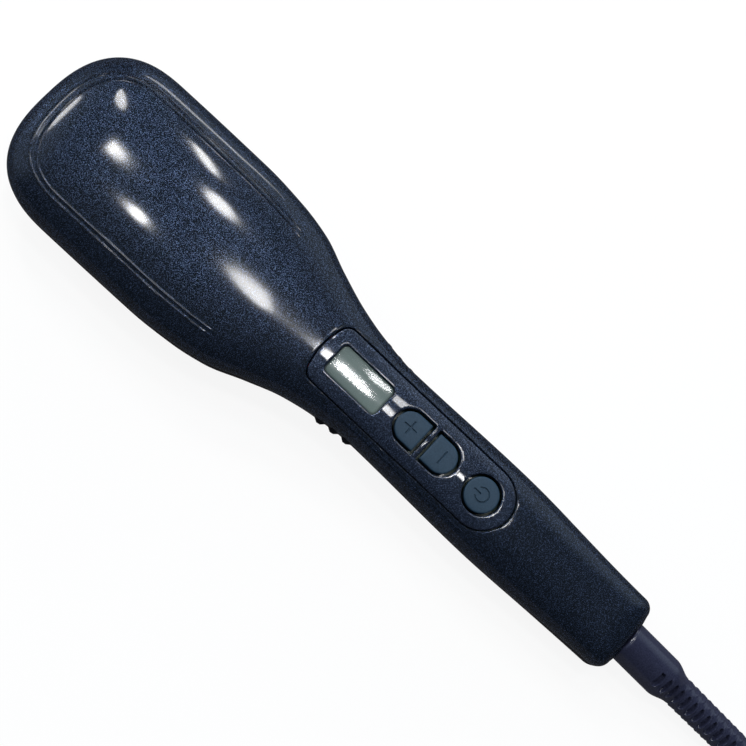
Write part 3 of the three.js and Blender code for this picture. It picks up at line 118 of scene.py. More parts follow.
@dataclass
class Body:
    """Form of the body: its plan outline and the heights of its two skins."""

    length: float = 287.0
    head: float = 108.0
    neck: float = 57.0
    tip: float = 34.0
    tip_exponent: float = 2.6
    end_reach: float = 15.0
    end_corner: float = 4.6
    end_bow: float = 1.2
    half_head: float = 36.1
    half_handle: float = 17.1
    exit_height: float = 17.2
    head_floor: float = 16.0
    seam: float = 118.0
    swivel_pitch: float = math.radians(10)
    boot_length: float = 62.0
    boot_end_radius: float = 4.75
    bead_share: float = 0.725
    bead_apart: float = 1.9
    bead_flare: float = 1.5
    bead_width: float = 0.36
    bead_height: float = 0.48
    bead_opens: tuple[float, float] = (8.0, 22.0)
    bead_fades: float = 92.9

    def __post_init__(self) -> None:
        """Lays out the profile curves and the shift from stations to the frame's X."""
        at_head, at_neck, at_handle = self.at_head, self.at_neck, self.at_handle
        width, wide, slim = self.width, self.half_head, self.half_handle
        self.half_width = Line([
            (self.tip, wide), (at_head(0.7), 35.8), (at_head(0.87), width(0.09)),
            (at_head(1), width(0.23)), (at_neck(0.25), width(0.52)), (at_neck(0.5), width(0.77)),
            (at_neck(0.72), width(0.91)), (at_neck(1), slim), (at_handle(0.44), 18.0),
            (at_handle(1), 15.4),
        ])
        self.top = Line([
            (0, 36.0), (at_head(0.2), 38.4), (at_head(0.6), 39.55), (at_head(1), 38.3),
            (at_neck(0.25), 37.62), (at_neck(0.45), 37.12), (at_neck(1), 35.78),
            (at_handle(0.5), 32.7), (at_handle(1), 28.2),
        ])
        self.parting = Line([
            (0, 24.4), (at_head(0.5), 25.6), (at_neck(0.1), 26.2), (at_neck(1), 24.284),
            (at_handle(0.5), 20.9), (at_handle(1), self.exit_height),
        ])
        self.floor = Line([
            (0, 17.4), (at_head(0.35), 15.4), (at_head(1), 15.4), (at_neck(0.45), 10.75),
            (at_neck(0.8), 8.5), (at_handle(0.5), 3.8), (at_handle(0.88), -0.6),
            (at_handle(1), -0.6),
        ])
        near, far = self.length - 3 * self.end_reach, self.length - self.end_reach / 3
        self.above = Line([(near, 2.4), (far, 3.1)])
        self.below = Line([(self.head, 6.0), (at_neck(0.5), 2.4), (near, 2.4), (far, 3.5)])
        pitch = self.swivel_pitch
        reach = self.boot_length * math.cos(pitch) + self.boot_end_radius * math.sin(pitch)
        self.shift = (self.length + reach) / 2

    def at_head(self, share: float) -> float:
        """Station at a share of the head's length."""
        return share * self.head

    def at_neck(self, share: float) -> float:
        """Station at a share of the neck's length."""
        return self.head + share * self.neck

    def at_handle(self, share: float) -> float:
        """Station at a share of the handle's length."""
        handle = self.length - self.head - self.neck
        return self.head + self.neck + share * handle

    def width(self, share: float) -> float:
        """Half width at a share of the way from the head's to the handle's."""
        return self.half_head + (self.half_handle - self.half_head) * share

    def outline(self, tip_steps: int = 70, side_steps: int = 170) -> Array:
        """Closed plan outline, counter-clockwise seen from above.

        The tip is a superellipse, the sides follow half_width, the corners at the end are
        arcs and the end is a shallow parabola.

        Args:
            tip_steps: points on each half of the tip.
            side_steps: points on each side.

        Returns:
            Points (n, 2).
        """
        angle = np.linspace(0, math.pi / 2, tip_steps + 1)
        power = 2 / self.tip_exponent
        tip_x = self.tip * (1 - np.clip(np.cos(angle), 0, 1) ** power)
        tip_y = self.half_head * np.sin(angle) ** power
        tip_x[-1] = self.tip
        corner_x = self.length - self.end_bow - self.end_corner
        side_x = np.linspace(self.tip, corner_x, side_steps)[1:-1]
        corner_y = float(self.half_width(corner_x)) - self.end_corner
        turn = np.linspace(math.pi / 2, 0, 12)
        arc_x = corner_x + self.end_corner * np.cos(turn)
        arc_y = corner_y + self.end_corner * np.sin(turn)
        end_y = np.linspace(corner_y, 0, 12)[1:]
        end_x = self.length - self.end_bow * (end_y / corner_y) ** 2
        x = np.concatenate([tip_x, side_x, arc_x, end_x])
        y = np.concatenate([tip_y, self.half_width(side_x), arc_y, end_y])
        loop = np.stack([x, y], 1)
        mirrored = loop[-2:0:-1] * [1, -1]
        return np.concatenate([loop, mirrored])[::-1]

    def centre(self, x: Array) -> Array:
        """Place on the centre line that a section runs to."""
        return np.clip(x, self.tip, self.length - self.end_reach)

    def share(self, x: Array, y: Array) -> Array:
        """Share of the way from the centre line to the outline.

        Round the tip it is the superellipse's own radius, along the sides |y| / half_width,
        and round the end the distance from the last section's centre over the outline's.

        Args:
            x: stations.
            y: distances from the centre line.

        Returns:
            0 on the centre line to 1 on the outline.
        """
        x, y = np.asarray(x, dtype=float), np.abs(np.asarray(y, dtype=float))
        along = np.clip(self.tip - x, 0, None) / self.tip
        across = y / self.half_width(x)
        n = self.tip_exponent
        share = (along**n + across**n) ** (1 / n)
        last = self.length - self.end_reach
        edge = self.outline()
        edge = edge[(edge[:, 0] >= last) & (edge[:, 1] >= 0)]
        edge = np.concatenate([edge, [[last, float(self.half_width(last))]]])
        turn = np.arctan2(edge[:, 1], edge[:, 0] - last)
        order = np.argsort(turn)
        far = np.hypot(edge[:, 0] - last, edge[:, 1])[order]
        reach = np.interp(np.arctan2(y, x - last), turn[order], far)
        return np.clip(np.where(x > last, np.hypot(x - last, y) / reach, share), 0, 1)

    def bead(self, x: Array, share: Array) -> Array:
        """Two fine ridges round the head's back, each a bell curve, farther apart at the tip.

        Args:
            x: stations.
            share: shares of the way to the outline.

        Returns:
            How much the ridges raise the skin.
        """
        distance = (share - self.bead_share) * self.half_head
        apart = self.bead_apart + self.bead_flare * (1 - smoothstep(x, *self.bead_opens))
        ridges = sum(
            np.exp(-(((distance - side * apart / 2) / self.bead_width) ** 2)) for side in (-1, 1)
        )
        return self.bead_height * ridges * (1 - smoothstep(x, self.bead_fades, self.head))

    def upper(self, x: Array, share: Array) -> Array:
        """Height of the upper skin: parting + rise * (1 - share^n)^(1/n), plus the bead.

        Args:
            x: stations.
            share: shares of the way to the outline.

        Returns:
            Heights over the ground.
        """
        n = self.above(x)
        level = self.parting(x) + GAP / 2
        shape = np.clip(1 - share**n, 0, None) ** (1 / n)
        return level + (self.top(x) - level) * shape + self.bead(x, share)

    def lower(self, x: Array, share: Array) -> Array:
        """Height of the lower skin, as the upper one downwards, cut flat at the head and heel.

        Args:
            x: stations.
            share: shares of the way to the outline.

        Returns:
            Heights over the ground.
        """
        n = self.below(x)
        level = self.parting(x) - GAP / 2
        shape = np.clip(1 - share**n, 0, None) ** (1 / n)
        flat = np.where(x < self.seam + GAP / 2, self.head_floor, 0.0)
        return np.maximum(level + (self.floor(x) - level) * shape, flat)

    def on_panel(self, x: Array, y: Array) -> Array:
        """Height of the upper skin over a plan point of the handle."""
        return self.upper(x, self.share(x, y))


BODY = Body()


# Meshes


def to_frame(points: Array) -> Array:
    """Stations, Y and Z in millimetres to the frame's metres."""
    return (np.asarray(points, dtype=float) - [BODY.shift, 0, 0]) * MM


def from_exit(points: Array) -> Array:
    """Turns points about the swivel's axis into stations, Y and Z.

    The axis leaves the middle of the handle's end and falls by the swivel's pitch.

    Args:
        points: (..., 3) distances along the axis, sideways and up from it.

    Returns:
        The same points as stations, Y and Z.
    """
    c, s = math.cos(BODY.swivel_pitch), math.sin(BODY.swivel_pitch)
    u, v, w = np.moveaxis(np.asarray(points, dtype=float), -1, 0)
    return np.stack([BODY.length + c * u + s * w, v, BODY.exit_height - s * u + c * w], -1)


def around(count: int) -> Array:
    """Angles at equal steps round a circle, the last a step before a full turn."""
    return np.linspace(0, 2 * math.pi, count, endpoint=False)


def placed(name: str, data: bpy.types.ID) -> bpy.types.Object:
    """Makes an object of its data and links it to the scene.

    Args:
        name: the object's name.
        data: its mesh, lamp or camera.

    Returns:
        The object.
    """
    made = bpy.data.objects.new(name, data)
    bpy.context.scene.collection.objects.link(made)
    return made


def make_mesh(name: str, points: Array, faces: Sequence[Sequence[int]]) -> bpy.types.Object:
    """Puts station points and faces into a new smooth-shaded object at the origin.

    Args:
        name: the piece's name.
        points: (n, 3) stations, Y and Z.
        faces: index lists.

    Returns:
        The object, linked to the scene.
    """
    mesh = bpy.data.meshes.new(name)
    mesh.from_pydata(to_frame(points).tolist(), [], [list(map(int, face)) for face in faces])
    mesh.update()
    mesh.shade_smooth()
    return placed(name, mesh)


def grid_faces(rows: int, columns: int) -> Array:
    """Faces of a grid whose columns close into a ring.

    Args:
        rows: rings of points.
        columns: points in a ring.

    Returns:
        Index rows of four.
    """
    j, i = np.meshgrid(np.arange(rows - 1), np.arange(columns), indexing="ij")
    after = (i + 1) % columns
    quads = [j * columns + i, j * columns + after, (j + 1) * columns + after, (j + 1) * columns + i]
    return np.stack([q.ravel() for q in quads], 1)


def tube_faces(rows: int, columns: int) -> list[list[int]]:
    """Faces of a tube: the grid of its rings, and one face over each end."""
    ends = [list(range(columns))[::-1], [(rows - 1) * columns + k for k in range(columns)]]
    return grid_faces(rows, columns).tolist() + ends


def tube_mesh(name: str, rings: Array) -> bpy.types.Object:
    """Closed skin over rings of points, its first and last ring capped by one face each.

    Args:
        name: the piece's name.
        rings: (rows, columns, 3) stations, Y and Z.

    Returns:
        The object.
    """
    piece = make_mesh(name, rings.reshape(-1, 3), tube_faces(*rings.shape[:2]))
    face_outwards(piece)
    return piece


def face_outwards(piece: bpy.types.Object) -> None:
    """Turns a closed mesh's faces outwards where its signed volume is negative.

    The volume is the sum over triangles of a . (b x c).

    Args:
        piece: the object that holds the mesh.
    """
    mesh = piece.data
    mesh.calc_loop_triangles()
    corner = np.empty(len(mesh.vertices) * 3)
    mesh.vertices.foreach_get("co", corner)
    index = np.empty(len(mesh.loop_triangles) * 3, dtype=np.int32)
    mesh.loop_triangles.foreach_get("vertices", index)
    a, b, c = corner.reshape(-1, 3)[index.reshape(-1, 3)].transpose(1, 0, 2)
    if np.einsum("ij,ij->i", a, np.cross(b, c)).sum() < 0:
        mesh.flip_normals()


def turned(profile: Array, segments: int = 96) -> Array:
    """Rings of a solid of revolution about the swivel's axis.

    Args:
        profile: (rows, 2) distances along the axis and radii.
        segments: points in a ring.

    Returns:
        Points (rows, segments, 3) for from_exit.
    """
    angle = around(segments)
    profile = np.asarray(profile, dtype=float)
    u = np.repeat(profile[:, :1], segments, 1)
    return np.stack([u, profile[:, 1:] * np.cos(angle), profile[:, 1:] * np.sin(angle)], -1)


def apply_modifiers(piece: bpy.types.Object, crease: float = 38.0) -> None:
    """Writes a piece's modifiers into its mesh and keeps its sharp edges.

    Args:
        piece: the object.
        crease: degrees above which an edge stays sharp.
    """
    graph = bpy.context.evaluated_depsgraph_get()
    mesh = bpy.data.meshes.new_from_object(piece.evaluated_get(graph))
    piece.modifiers.clear()
    piece.data = mesh
    mesh.shade_smooth()
    mesh.set_sharp_from_angle(angle=math.radians(crease))


def thicken(piece: bpy.types.Object, wall: float) -> None:
    """Gives an open skin a wall on its inner side.

    Args:
        piece: the object that holds the skin.
        wall: thickness.
    """
    solidify = piece.modifiers.new("wall", "SOLIDIFY")
    solidify.thickness = wall * MM
    solidify.offset = -1
    solidify.use_even_offset = False
    apply_modifiers(piece)


def cut_away(piece: bpy.types.Object, cutter: bpy.types.Object) -> None:
    """Cuts one closed mesh out of another and removes the cutter.

    Args:
        piece: the object that is cut.
        cutter: the object that is taken out of it.
    """
    cut = piece.modifiers.new("cut", "BOOLEAN")
    cut.operation = "DIFFERENCE"
    cut.solver = "EXACT"
    cut.object = cutter
    apply_modifiers(piece)
    bpy.data.objects.remove(cutter)


# Skins over a plan with holes


# Points compared with a loop at one time
BATCH = 4000


def inside(points: Array, loop: Array) -> Array:
    """Tells which plan points lie in a closed loop, by counting crossings of a ray.

    Args:
        points: (n, 2) plan points.
        loop: (m, 2) the loop's corners.

    Returns:
        True for each point inside.
    """
    ax, ay = loop[:, 0], loop[:, 1]
    bx, by = np.roll(ax, -1), np.roll(ay, -1)
    run = np.where(by == ay, 1e-12, by - ay)
    within = []
    for start in range(0, len(points), BATCH):
        x, y = points[start:start + BATCH, :1], points[start:start + BATCH, 1:2]
        spans = (ay > y) != (by > y)
        within.append((spans & (x < (bx - ax) * (y - ay) / run + ax)).sum(1) % 2 == 1)
    return np.concatenate(within)


def beside(points: Array, loops: Iterable[Array], margin: float) -> Array:
    """Tells which plan points lie close to a point of one of the loops.

    Args:
        points: (n, 2) plan points.
        loops: the loops' corners.
        margin: the distance that counts as close.

    Returns:
        True for each point nearer than the margin.
    """
    near = np.zeros(len(points), dtype=bool)
    for loop in loops:
        for start in range(0, len(points), BATCH):
            part = slice(start, start + BATCH)
            gap = ((points[part, None] - loop[None]) ** 2).sum(2).min(1)
            near[part] |= gap < margin * margin
    return near


def moved(loop: Array, distance: float) -> Array:
    """Moves a counter-clockwise loop outwards along the mean normal at each point.

    Args:
        loop: (n, 2) corners.
        distance: how far, inwards where negative.

    Returns:
        The moved corners.
    """
    along = np.roll(loop, -1, 0) - np.roll(loop, 1, 0)
    along /= np.linalg.norm(along, axis=1, keepdims=True)
    return loop + distance * np.stack([along[:, 1], -along[:, 0]], 1)


def resample(loop: Array, step: float) -> Array:
    """Puts points at equal steps round a closed loop, its corners kept within a step.

    Args:
        loop: (n, 2) corners.
        step: distance between the new points, about.

    Returns:
        The new points.
    """
    closed = np.concatenate([loop, loop[:1]])
    length = np.concatenate([[0], np.cumsum(np.linalg.norm(np.diff(closed, axis=0), axis=1))])
    at = np.linspace(0, length[-1], max(int(length[-1] / step), 8), endpoint=False)
    return np.stack([np.interp(at, length, closed[:, k]) for k in (0, 1)], 1)


@dataclass
class Contour:
    """A loop that the mesh keeps as edges, lowered by a drop."""

    loop: Array
    drop: float = 0.0


def rounded(loop: Array, radius: float, side: int) -> list[Contour]:
    """Contours of a quarter-round edge, from the edge itself to where it meets the skin.

    At an angle the offset is radius * (1 - cos) and the drop radius * (1 - sin).

    Args:
        loop: the edge, counter-clockwise.
        radius: the quarter round's radius.
        side: -1 where the skin lies inside the loop, 1 where it lies outside.

    Returns:
        One contour for each angle, the edge first.
    """
    angles = np.radians([0, 30, 60, 90])
    return [
        Contour(moved(loop, side * radius * (1 - math.cos(a))), radius * (1 - math.sin(a)))
        for a in angles
    ]


@dataclass
class Skin:
    """A skin over a plan region, triangulated between kept contours.

    The plan is first stretched by unroll, so that its triangles are even on the skin. Each
    corner's height comes from the height function, less its contour's drop.
    """

    name: str
    outer: Array
    holes: list[Array]
    contours: list[Contour]
    points: Array
    height: Height
    unroll: Callable[[Array], Array] = lambda plan: plan
    margin: float = 0.4

    def triangles(self) -> tuple[Array, Array]:
        """Triangulates the region between its kept contours.

        Returns:
            Corners (n, 3) and triangles (m, 3), facing up.
        """
        loops = [contour.loop for contour in self.contours]
        flat_loops = [self.unroll(loop) for loop in loops]
        outer, holes = self.unroll(self.outer), [self.unroll(hole) for hole in self.holes]
        flat = self.unroll(self.points)
        keep = inside(flat, outer) & ~beside(flat, flat_loops, self.margin)
        for hole in holes:
            keep &= ~inside(flat, hole)
        plan = np.concatenate([*loops, self.points[keep]])
        drops = [np.full(len(c.loop), c.drop) for c in self.contours]
        drop = np.concatenate([*drops, np.zeros(keep.sum())])
        edges, start = [], 0
        for loop in loops:
            count = len(loop)
            edges += [(start + k, start + (k + 1) % count) for k in range(count)]
            start += count
        spread = np.concatenate([*flat_loops, flat[keep]])
        made = delaunay_2d_cdt([Vector(p) for p in spread.tolist()], edges, [], 0, 1e-6)
        origin = np.array([group[0] if group else -1 for group in made[3]])
        faces = np.array(made[2])
        faces = faces[(origin[faces] >= 0).all(1)]
        middle = np.array([tuple(v) for v in made[0]])[faces].mean(1)
        kept = inside(middle, outer)
        for hole in holes:
            kept &= ~inside(middle, hole)
        used, index = np.unique(origin[faces[kept]], return_inverse=True)
        plan = plan[used]
        z = self.height(plan[:, 0], plan[:, 1]) - drop[used]
        return np.column_stack([plan, z]), index.reshape(-1, 3)

    def open(self, upwards: bool = True) -> bpy.types.Object:
        """The skin alone, its faces up or down."""
        corners, faces = self.triangles()
        return make_mesh(self.name, corners, faces if upwards else faces[:, ::-1])

    def slab(self, wall: float) -> bpy.types.Object:
        """The skin with straight walls down to a copy of itself.

        The walls stand on the edges that only one triangle has.

        Args:
            wall: how much lower the copy lies.

        Returns:
            A closed object.
        """
        top, faces = self.triangles()
        count = len(top)
        sides = np.concatenate([faces[:, [0, 1]], faces[:, [1, 2]], faces[:, [2, 0]]])
        ordered = np.sort(sides, 1)
        _, index, uses = np.unique(ordered, axis=0, return_inverse=True, return_counts=True)
        rim = sides[uses[index.ravel()] == 1]
        walls = np.column_stack([rim[:, 1], rim[:, 0], rim[:, 0] + count, rim[:, 1] + count])
        all_faces = faces.tolist() + (faces[:, ::-1] + count).tolist() + walls.tolist()
        piece = make_mesh(self.name, np.concatenate([top, top - [0, 0, wall]]), all_faces)
        piece.data.set_sharp_from_angle(angle=math.radians(50))
        return piece


def unroll_with(spread: Callable[[Array], Array]) -> Callable[[Array], Array]:
    """Makes a stretch of the plan that opens out the steep sides.

    Args:
        spread: gives a share of the way to the outline its stretched value.

    Returns:
        A function from plan points to stretched ones.
    """

    def unroll(plan: Array) -> Array:
        """Each point moves along its section's line to spread(share) of its way out."""
        centre = np.column_stack([BODY.centre(plan[:, 0]), np.zeros(len(plan))])
        share = BODY.share(plan[:, 0], plan[:, 1])[:, None]
        return centre + (plan - centre) * spread(share) / np.maximum(share, 1e-6)

    return unroll


def grid_points(shares: Array) -> Array:
    """Plan points where rows of equal share meet the lines from the outline to the centre.

    Args:
        shares: the rows' shares of the way to the outline.

    Returns:
        Points (n, 2), with a row along the centre line.
    """
    edge = BODY.outline()
    centre = np.column_stack([BODY.centre(edge[:, 0]), np.zeros(len(edge))])
    rows = centre + (edge - centre) * np.asarray(shares)[:, None, None]
    line = np.arange(BODY.tip, BODY.length - BODY.end_reach, 1.1)
    spine = np.column_stack([line, np.zeros(len(line))])
    return np.concatenate([rows.reshape(-1, 2), spine])


# Outlines on the control panel


def arc(centre: tuple[float, float], radius: float, start: float, end: float) -> Array:
    """Points of an arc, angles in degrees."""
    turn = np.radians(np.linspace(start, end, max(int(abs(end - start) / 5), 4)))
    return np.column_stack([centre[0] + radius * np.cos(turn), centre[1] + radius * np.sin(turn)])


def bend(a: Sequence[float], b: Sequence[float], c: Sequence[float]) -> Array:
    """Quadratic curve from a to c that leans towards b.

    Args:
        a: first point.
        b: the point that it leans to.
        c: last point.

    Returns:
        Points (n, 2): a(1 - u)^2 + 2bu(1 - u) + cu^2.
    """
    u = np.linspace(0, 1, 14)[:, None]
    a, b, c = (np.asarray(p, dtype=float) for p in (a, b, c))
    return a * (1 - u) ** 2 + 2 * b * u * (1 - u) + c * u * u


@dataclass
class Deck:
    """Layout of the control panel, its outlines along and across it.

    Each outline can grow, which moves it outwards, or inwards where that is negative.
    """

    start: float = 133.6
    pitch: float = math.radians(2.718)
    first: float = 2.2
    last: float = 90.4
    half: float = 11.8
    corner: float = 4.5
    bow: float = 1.8
    window_at: float = 19.0
    window_reach: float = 12.1
    window_half: float = 6.25
    window_corner: float = 1.8
    bridge: float = 51.0
    bridge_half: float = 0.95
    key_length: float = 13.3
    key_radius: float = 6.85
    power_at: float = 77.8
    power_radius: float = 7.45
    stroke: float = 0.66
    stroke_reach: float = 2.8
    ring_radius: float = 2.6
    ring_reach: float = 143.0
    ring_line: tuple[float, float] = (-0.5, -3.7)

    def station(self, along: Array | float) -> Array | float:
        """Station of a place along the panel, which its own slope shortens by a cosine."""
        return self.start + math.cos(self.pitch) * along

    def plan(self, loop: Array, step: float) -> Array:
        """An outline on the plan, its points at equal steps."""
        return resample(np.column_stack([self.station(loop[:, 0]), loop[:, 1]]), step)

    def panel(self, grow: float = 0.0) -> Array:
        """Outline of the panel: a half circle towards the handle's end, a bowed edge before.

        Args:
            grow: how far it is moved outwards.

        Returns:
            Corners (n, 2).
        """
        half, start, corner = self.half + grow, self.first - grow, self.corner + grow
        side, bowed = start + self.bow / 2, start - self.bow
        return np.concatenate([
            arc((self.last - self.half, 0), half, -90, 90),
            bend((start + corner, half), (side, half), (start, half - corner)),
            bend((start, half - corner), (bowed, 0), (start, corner - half))[1:],
            bend((start, corner - half), (side, -half), (start + corner, -half))[1:],
        ])

    def window(self, grow: float = 0.0) -> Array:
        """Outline of the display window, a rectangle with round corners.

        Args:
            grow: how far its sides are moved outwards.

        Returns:
            Corners (n, 2).
        """
        radius = self.window_corner
        x, y = self.window_reach + grow - radius, self.window_half + grow - radius
        return np.concatenate([
            arc((self.window_at + side_x * x, side_y * y), radius, start, start + 90)
            for side_x, side_y, start in ((1, -1, -90), (1, 1, 0), (-1, 1, 90), (-1, -1, 180))
        ])

    def key(self, towards: int, grow: float = 0.0) -> Array:
        """D outline with its flat side to the bridge between the two keys.

        Args:
            towards: -1 for the key on the head's side, 1 for the other.
            grow: how far it is moved outwards.

        Returns:
            Corners (n, 2).
        """
        flat = self.bridge + towards * (self.bridge_half - grow)
        centre = self.bridge + towards * (self.bridge_half + self.key_length - self.key_radius)
        radius = self.key_radius + grow
        start = -90 if towards > 0 else 90
        ends = np.array([[flat, towards * radius], [flat, -towards * radius]])
        return np.concatenate([arc((centre, 0), radius, start, start + 180), ends])

    def key_at(self, towards: int) -> float:
        """Middle of a key along the panel, on the head's side (-1) or the other (1)."""
        return self.bridge + towards * (self.bridge_half + self.key_length / 2)

    def power(self, grow: float = 0.0) -> Array:
        """Outline of the round power button."""
        return arc((self.power_at, 0), self.power_radius + grow, 0, 360)[:-1]

    def plus_strokes(self) -> list[Array]:
        """Cross of thin strokes on the key on the head's side.

        Returns:
            One closed outline.
        """
        a, b = self.stroke_reach, self.stroke / 2
        corners = [(a, -b), (a, b), (b, b), (b, a), (-b, a), (-b, b),
                   (-a, b), (-a, -b), (-b, -b), (-b, -a), (b, -a), (b, -b)]
        return [np.array(corners) + [self.key_at(-1), 0]]

    def minus_strokes(self) -> list[Array]:
        """One thin stroke across the brush."""
        a, b = self.stroke_reach, self.stroke / 2
        return [np.array([(b, -a), (b, a), (-b, a), (-b, -a)]) + [self.key_at(1), 0]]

    def power_strokes(self) -> list[Array]:
        """Open ring and a line that points to the head.

        Returns:
            Two closed outlines.
        """
        b, r, reach = self.stroke / 2, self.ring_radius, self.ring_reach
        middle = (self.power_at, 0)
        near, far = self.ring_line
        outer, inner = arc(middle, r + b, -reach, reach), arc(middle, r - b, reach, -reach)
        line = np.array([(near, -b), (near, b), (far, b), (far, -b)]) + [self.power_at, 0]
        return [np.concatenate([outer, inner]), line]


DECK = Deck()


# Finishes


class Surface(Enum):
    """How a surface was made, which gives its pattern."""

    MOULDED = "moulded against a polished tool"
    PEARL = "clear coat over fine flakes"
    SPARKED = "moulded against a spark-eroded tool"
    ROLLED = "rolled or drawn metal"
    FIRED = "fired or pressed grains"


# How a pattern is drawn out along X on rolled metal
ROLLED_SCALE = (0.04, 1, 1)


def linear(code: str) -> tuple[float, float, float, float]:
    """Turns an sRGB hex colour into linear values.

    Each part is v / 12.92 up to 0.04045, and ((v + 0.055) / 1.055)^2.4 above.

    Args:
        code: # and six hex digits.

    Returns:
        Red, green, blue and 1.
    """
    values = [int(code[k:k + 2], 16) / 255 for k in (1, 3, 5)]
    curve = [v / 12.92 if v <= 0.04045 else ((v + 0.055) / 1.055) ** 2.4 for v in values]
    return (*curve, 1.0)


def add(
    tree: bpy.types.NodeTree, kind: str, links: dict | None = None, **settings: object
) -> bpy.types.Node:
    """Adds a node, sets its properties or inputs by name, and links outputs into its inputs.

    Args:
        tree: the node tree.
        kind: the node's type.
        links: input name or number to output socket.
        settings: property names, or input names with _ for a space.

    Returns:
        The node.
    """
    node = tree.nodes.new(kind)
    for key, value in settings.items():
        if hasattr(node, key):
            setattr(node, key, value)
        else:
            node.inputs[key.replace("_", " ")].default_value = value
    for key, socket in (links or {}).items():
        tree.links.new(socket, node.inputs[key])
    return node


@dataclass(frozen=True)
class Finish:
    """A real material and how its surface was made.

    Its pattern runs from colour to second, with a grain and a depth in millimetres, and the
    roughness moves by spread about its middle. Flakes stand where a cell's chance is over
    sparse, and lean is how far one tilts.
    """

    name: str
    colour: str
    surface: Surface
    roughness: float
    second: str
    grain: float = 0.5
    depth: float = 0.0
    metallic: float = 0.0
    ior: float = 1.5
    specular: float = 0.5
    coat: float = 0.0
    coat_roughness: float = 0.03
    coat_ior: float = 1.5
    alpha: float = 1.0
    spread: float = 0.04
    sparse: float = 0.76
    flake_metal: float = 0.8
    lean: float = 0.24
    made: dict = field(default_factory=dict, compare=False, repr=False)

    def material(self) -> bpy.types.Material:
        """Builds the finish's node material once and keeps it.

        Returns:
            The material.
        """
        if "material" not in self.made:
            self.made["material"] = self.build()
        return self.made["material"]

    def build(self) -> bpy.types.Material:
        """Makes the nodes: a pattern in object coordinates drives colour, roughness and relief.

        Returns:
            The material.
        """
        material = bpy.data.materials.new(self.name)
        material.use_nodes = True
        tree = material.node_tree
        shader = tree.nodes["Principled BSDF"]
        plain = {
            "Metallic": self.metallic, "IOR": self.ior, "Coat Weight": self.coat,
            "Coat Roughness": self.coat_roughness, "Coat IOR": self.coat_ior,
            "Specular IOR Level": self.specular, "Alpha": self.alpha,
        }
        for name, value in plain.items():
            shader.inputs[name].default_value = value
        place = add(tree, "ShaderNodeTexCoord").outputs["Object"]
        per_metre = 1000 / self.grain
        if self.surface is Surface.PEARL:
            share = self.flakes(tree, shader, place, per_metre)
        else:
            share = self.grains(tree, shader, place, per_metre)
        mix = add(tree, "ShaderNodeMix", {0: share}, data_type="RGBA")
        mix.inputs[6].default_value = linear(self.colour)
        mix.inputs[7].default_value = linear(self.second)
        tree.links.new(mix.outputs[2], shader.inputs["Base Color"])
        rough = add(tree, "ShaderNodeMapRange", {"Value": share},
                    To_Min=self.roughness + self.spread, To_Max=self.roughness - self.spread)
        tree.links.new(rough.outputs[0], shader.inputs["Roughness"])
        return material

    def flakes(self, tree: bpy.types.NodeTree, shader: bpy.types.Node,
               place: bpy.types.NodeSocket, per_metre: float) -> bpy.types.NodeSocket:
        """Sparse metal flakes: some random cells turn metallic, and each leans its own way.

        Args:
            tree: the material's nodes.
            shader: the surface shader.
            place: object coordinates.
            per_metre: cells in a metre.

        Returns:
            How much of a flake there is.
        """
        voronoi = add(tree, "ShaderNodeTexVoronoi", {"Vector": place}, Scale=per_metre)
        cells = voronoi.outputs["Color"]
        chance = add(tree, "ShaderNodeSeparateColor", {0: cells}).outputs[0]
        share = add(tree, "ShaderNodeMapRange", {"Value": chance}, From_Min=self.sparse).outputs[0]
        metal = add(tree, "ShaderNodeMapRange", {"Value": share}, To_Max=self.flake_metal)
        tree.links.new(metal.outputs[0], shader.inputs["Metallic"])
        normal = add(tree, "ShaderNodeNewGeometry").outputs["Normal"]
        lean = add(tree, "ShaderNodeVectorMath", {0: cells}, operation="MULTIPLY_ADD")
        lean.inputs[1].default_value = (self.lean,) * 3
        lean.inputs[2].default_value = (-self.lean / 2,) * 3
        leaning = add(tree, "ShaderNodeVectorMath", {0: normal, 1: lean.outputs[0]},
                      operation="ADD")
        unit = add(tree, "ShaderNodeVectorMath", {0: leaning.outputs[0]}, operation="NORMALIZE")
        tree.links.new(unit.outputs[0], shader.inputs["Normal"])
        return share

    def grains(self, tree: bpy.types.NodeTree, shader: bpy.types.Node,
               place: bpy.types.NodeSocket, per_metre: float) -> bpy.types.NodeSocket:
        """Noise of the grain's size, drawn out along X on rolled metal, with its relief.

        Args:
            tree: the material's nodes.
            shader: the surface shader.
            place: object coordinates.
            per_metre: grains in a metre.

        Returns:
            How much of the second colour there is.
        """
        if self.surface is Surface.ROLLED:
            drawn = add(tree, "ShaderNodeMapping", {"Vector": place}, Scale=ROLLED_SCALE)
            place = drawn.outputs[0]
        noise = add(tree, "ShaderNodeTexNoise", {"Vector": place}, Scale=per_metre, Detail=3)
        value = noise.outputs["Fac"]
        if self.depth > 0:
            bump = add(tree, "ShaderNodeBump", {"Height": value}, Strength=1.0,
                       Distance=self.depth * MM)
            tree.links.new(bump.outputs[0], shader.inputs["Normal"])
        share = add(tree, "ShaderNodeMapRange", {"Value": value}, From_Min=0.3, From_Max=0.7)
        return share.outputs[0]


# Fine flakes under a clear coat: nearly black, with a blue glow where it mirrors the light. Real
# flakes are near 0.05 mm, drawn here at 0.12 mm so that they show in the picture. The gloss is a
# thin share of a high index, as of titania flakes at the face, so that the rims stay dark
PEARL_ABS = Finish("pearl_lacquered_abs", "#0d1219", Surface.PEARL, 0.37, "#61749c", 0.12,
                   specular=0.0, coat=0.15, coat_roughness=0.09, coat_ior=2.0, spread=0.06,
                   sparse=0.86)
# The panel's lacquer: a little glossier, with brighter flakes
PANEL_ABS = Finish("pearl_lacquered_panel_abs", "#121823", Surface.PEARL, 0.36, "#7486ac", 0.12,
                   specular=0.0, coat=0.2, coat_roughness=0.06, coat_ior=2.0, spread=0.06,
                   sparse=0.86)
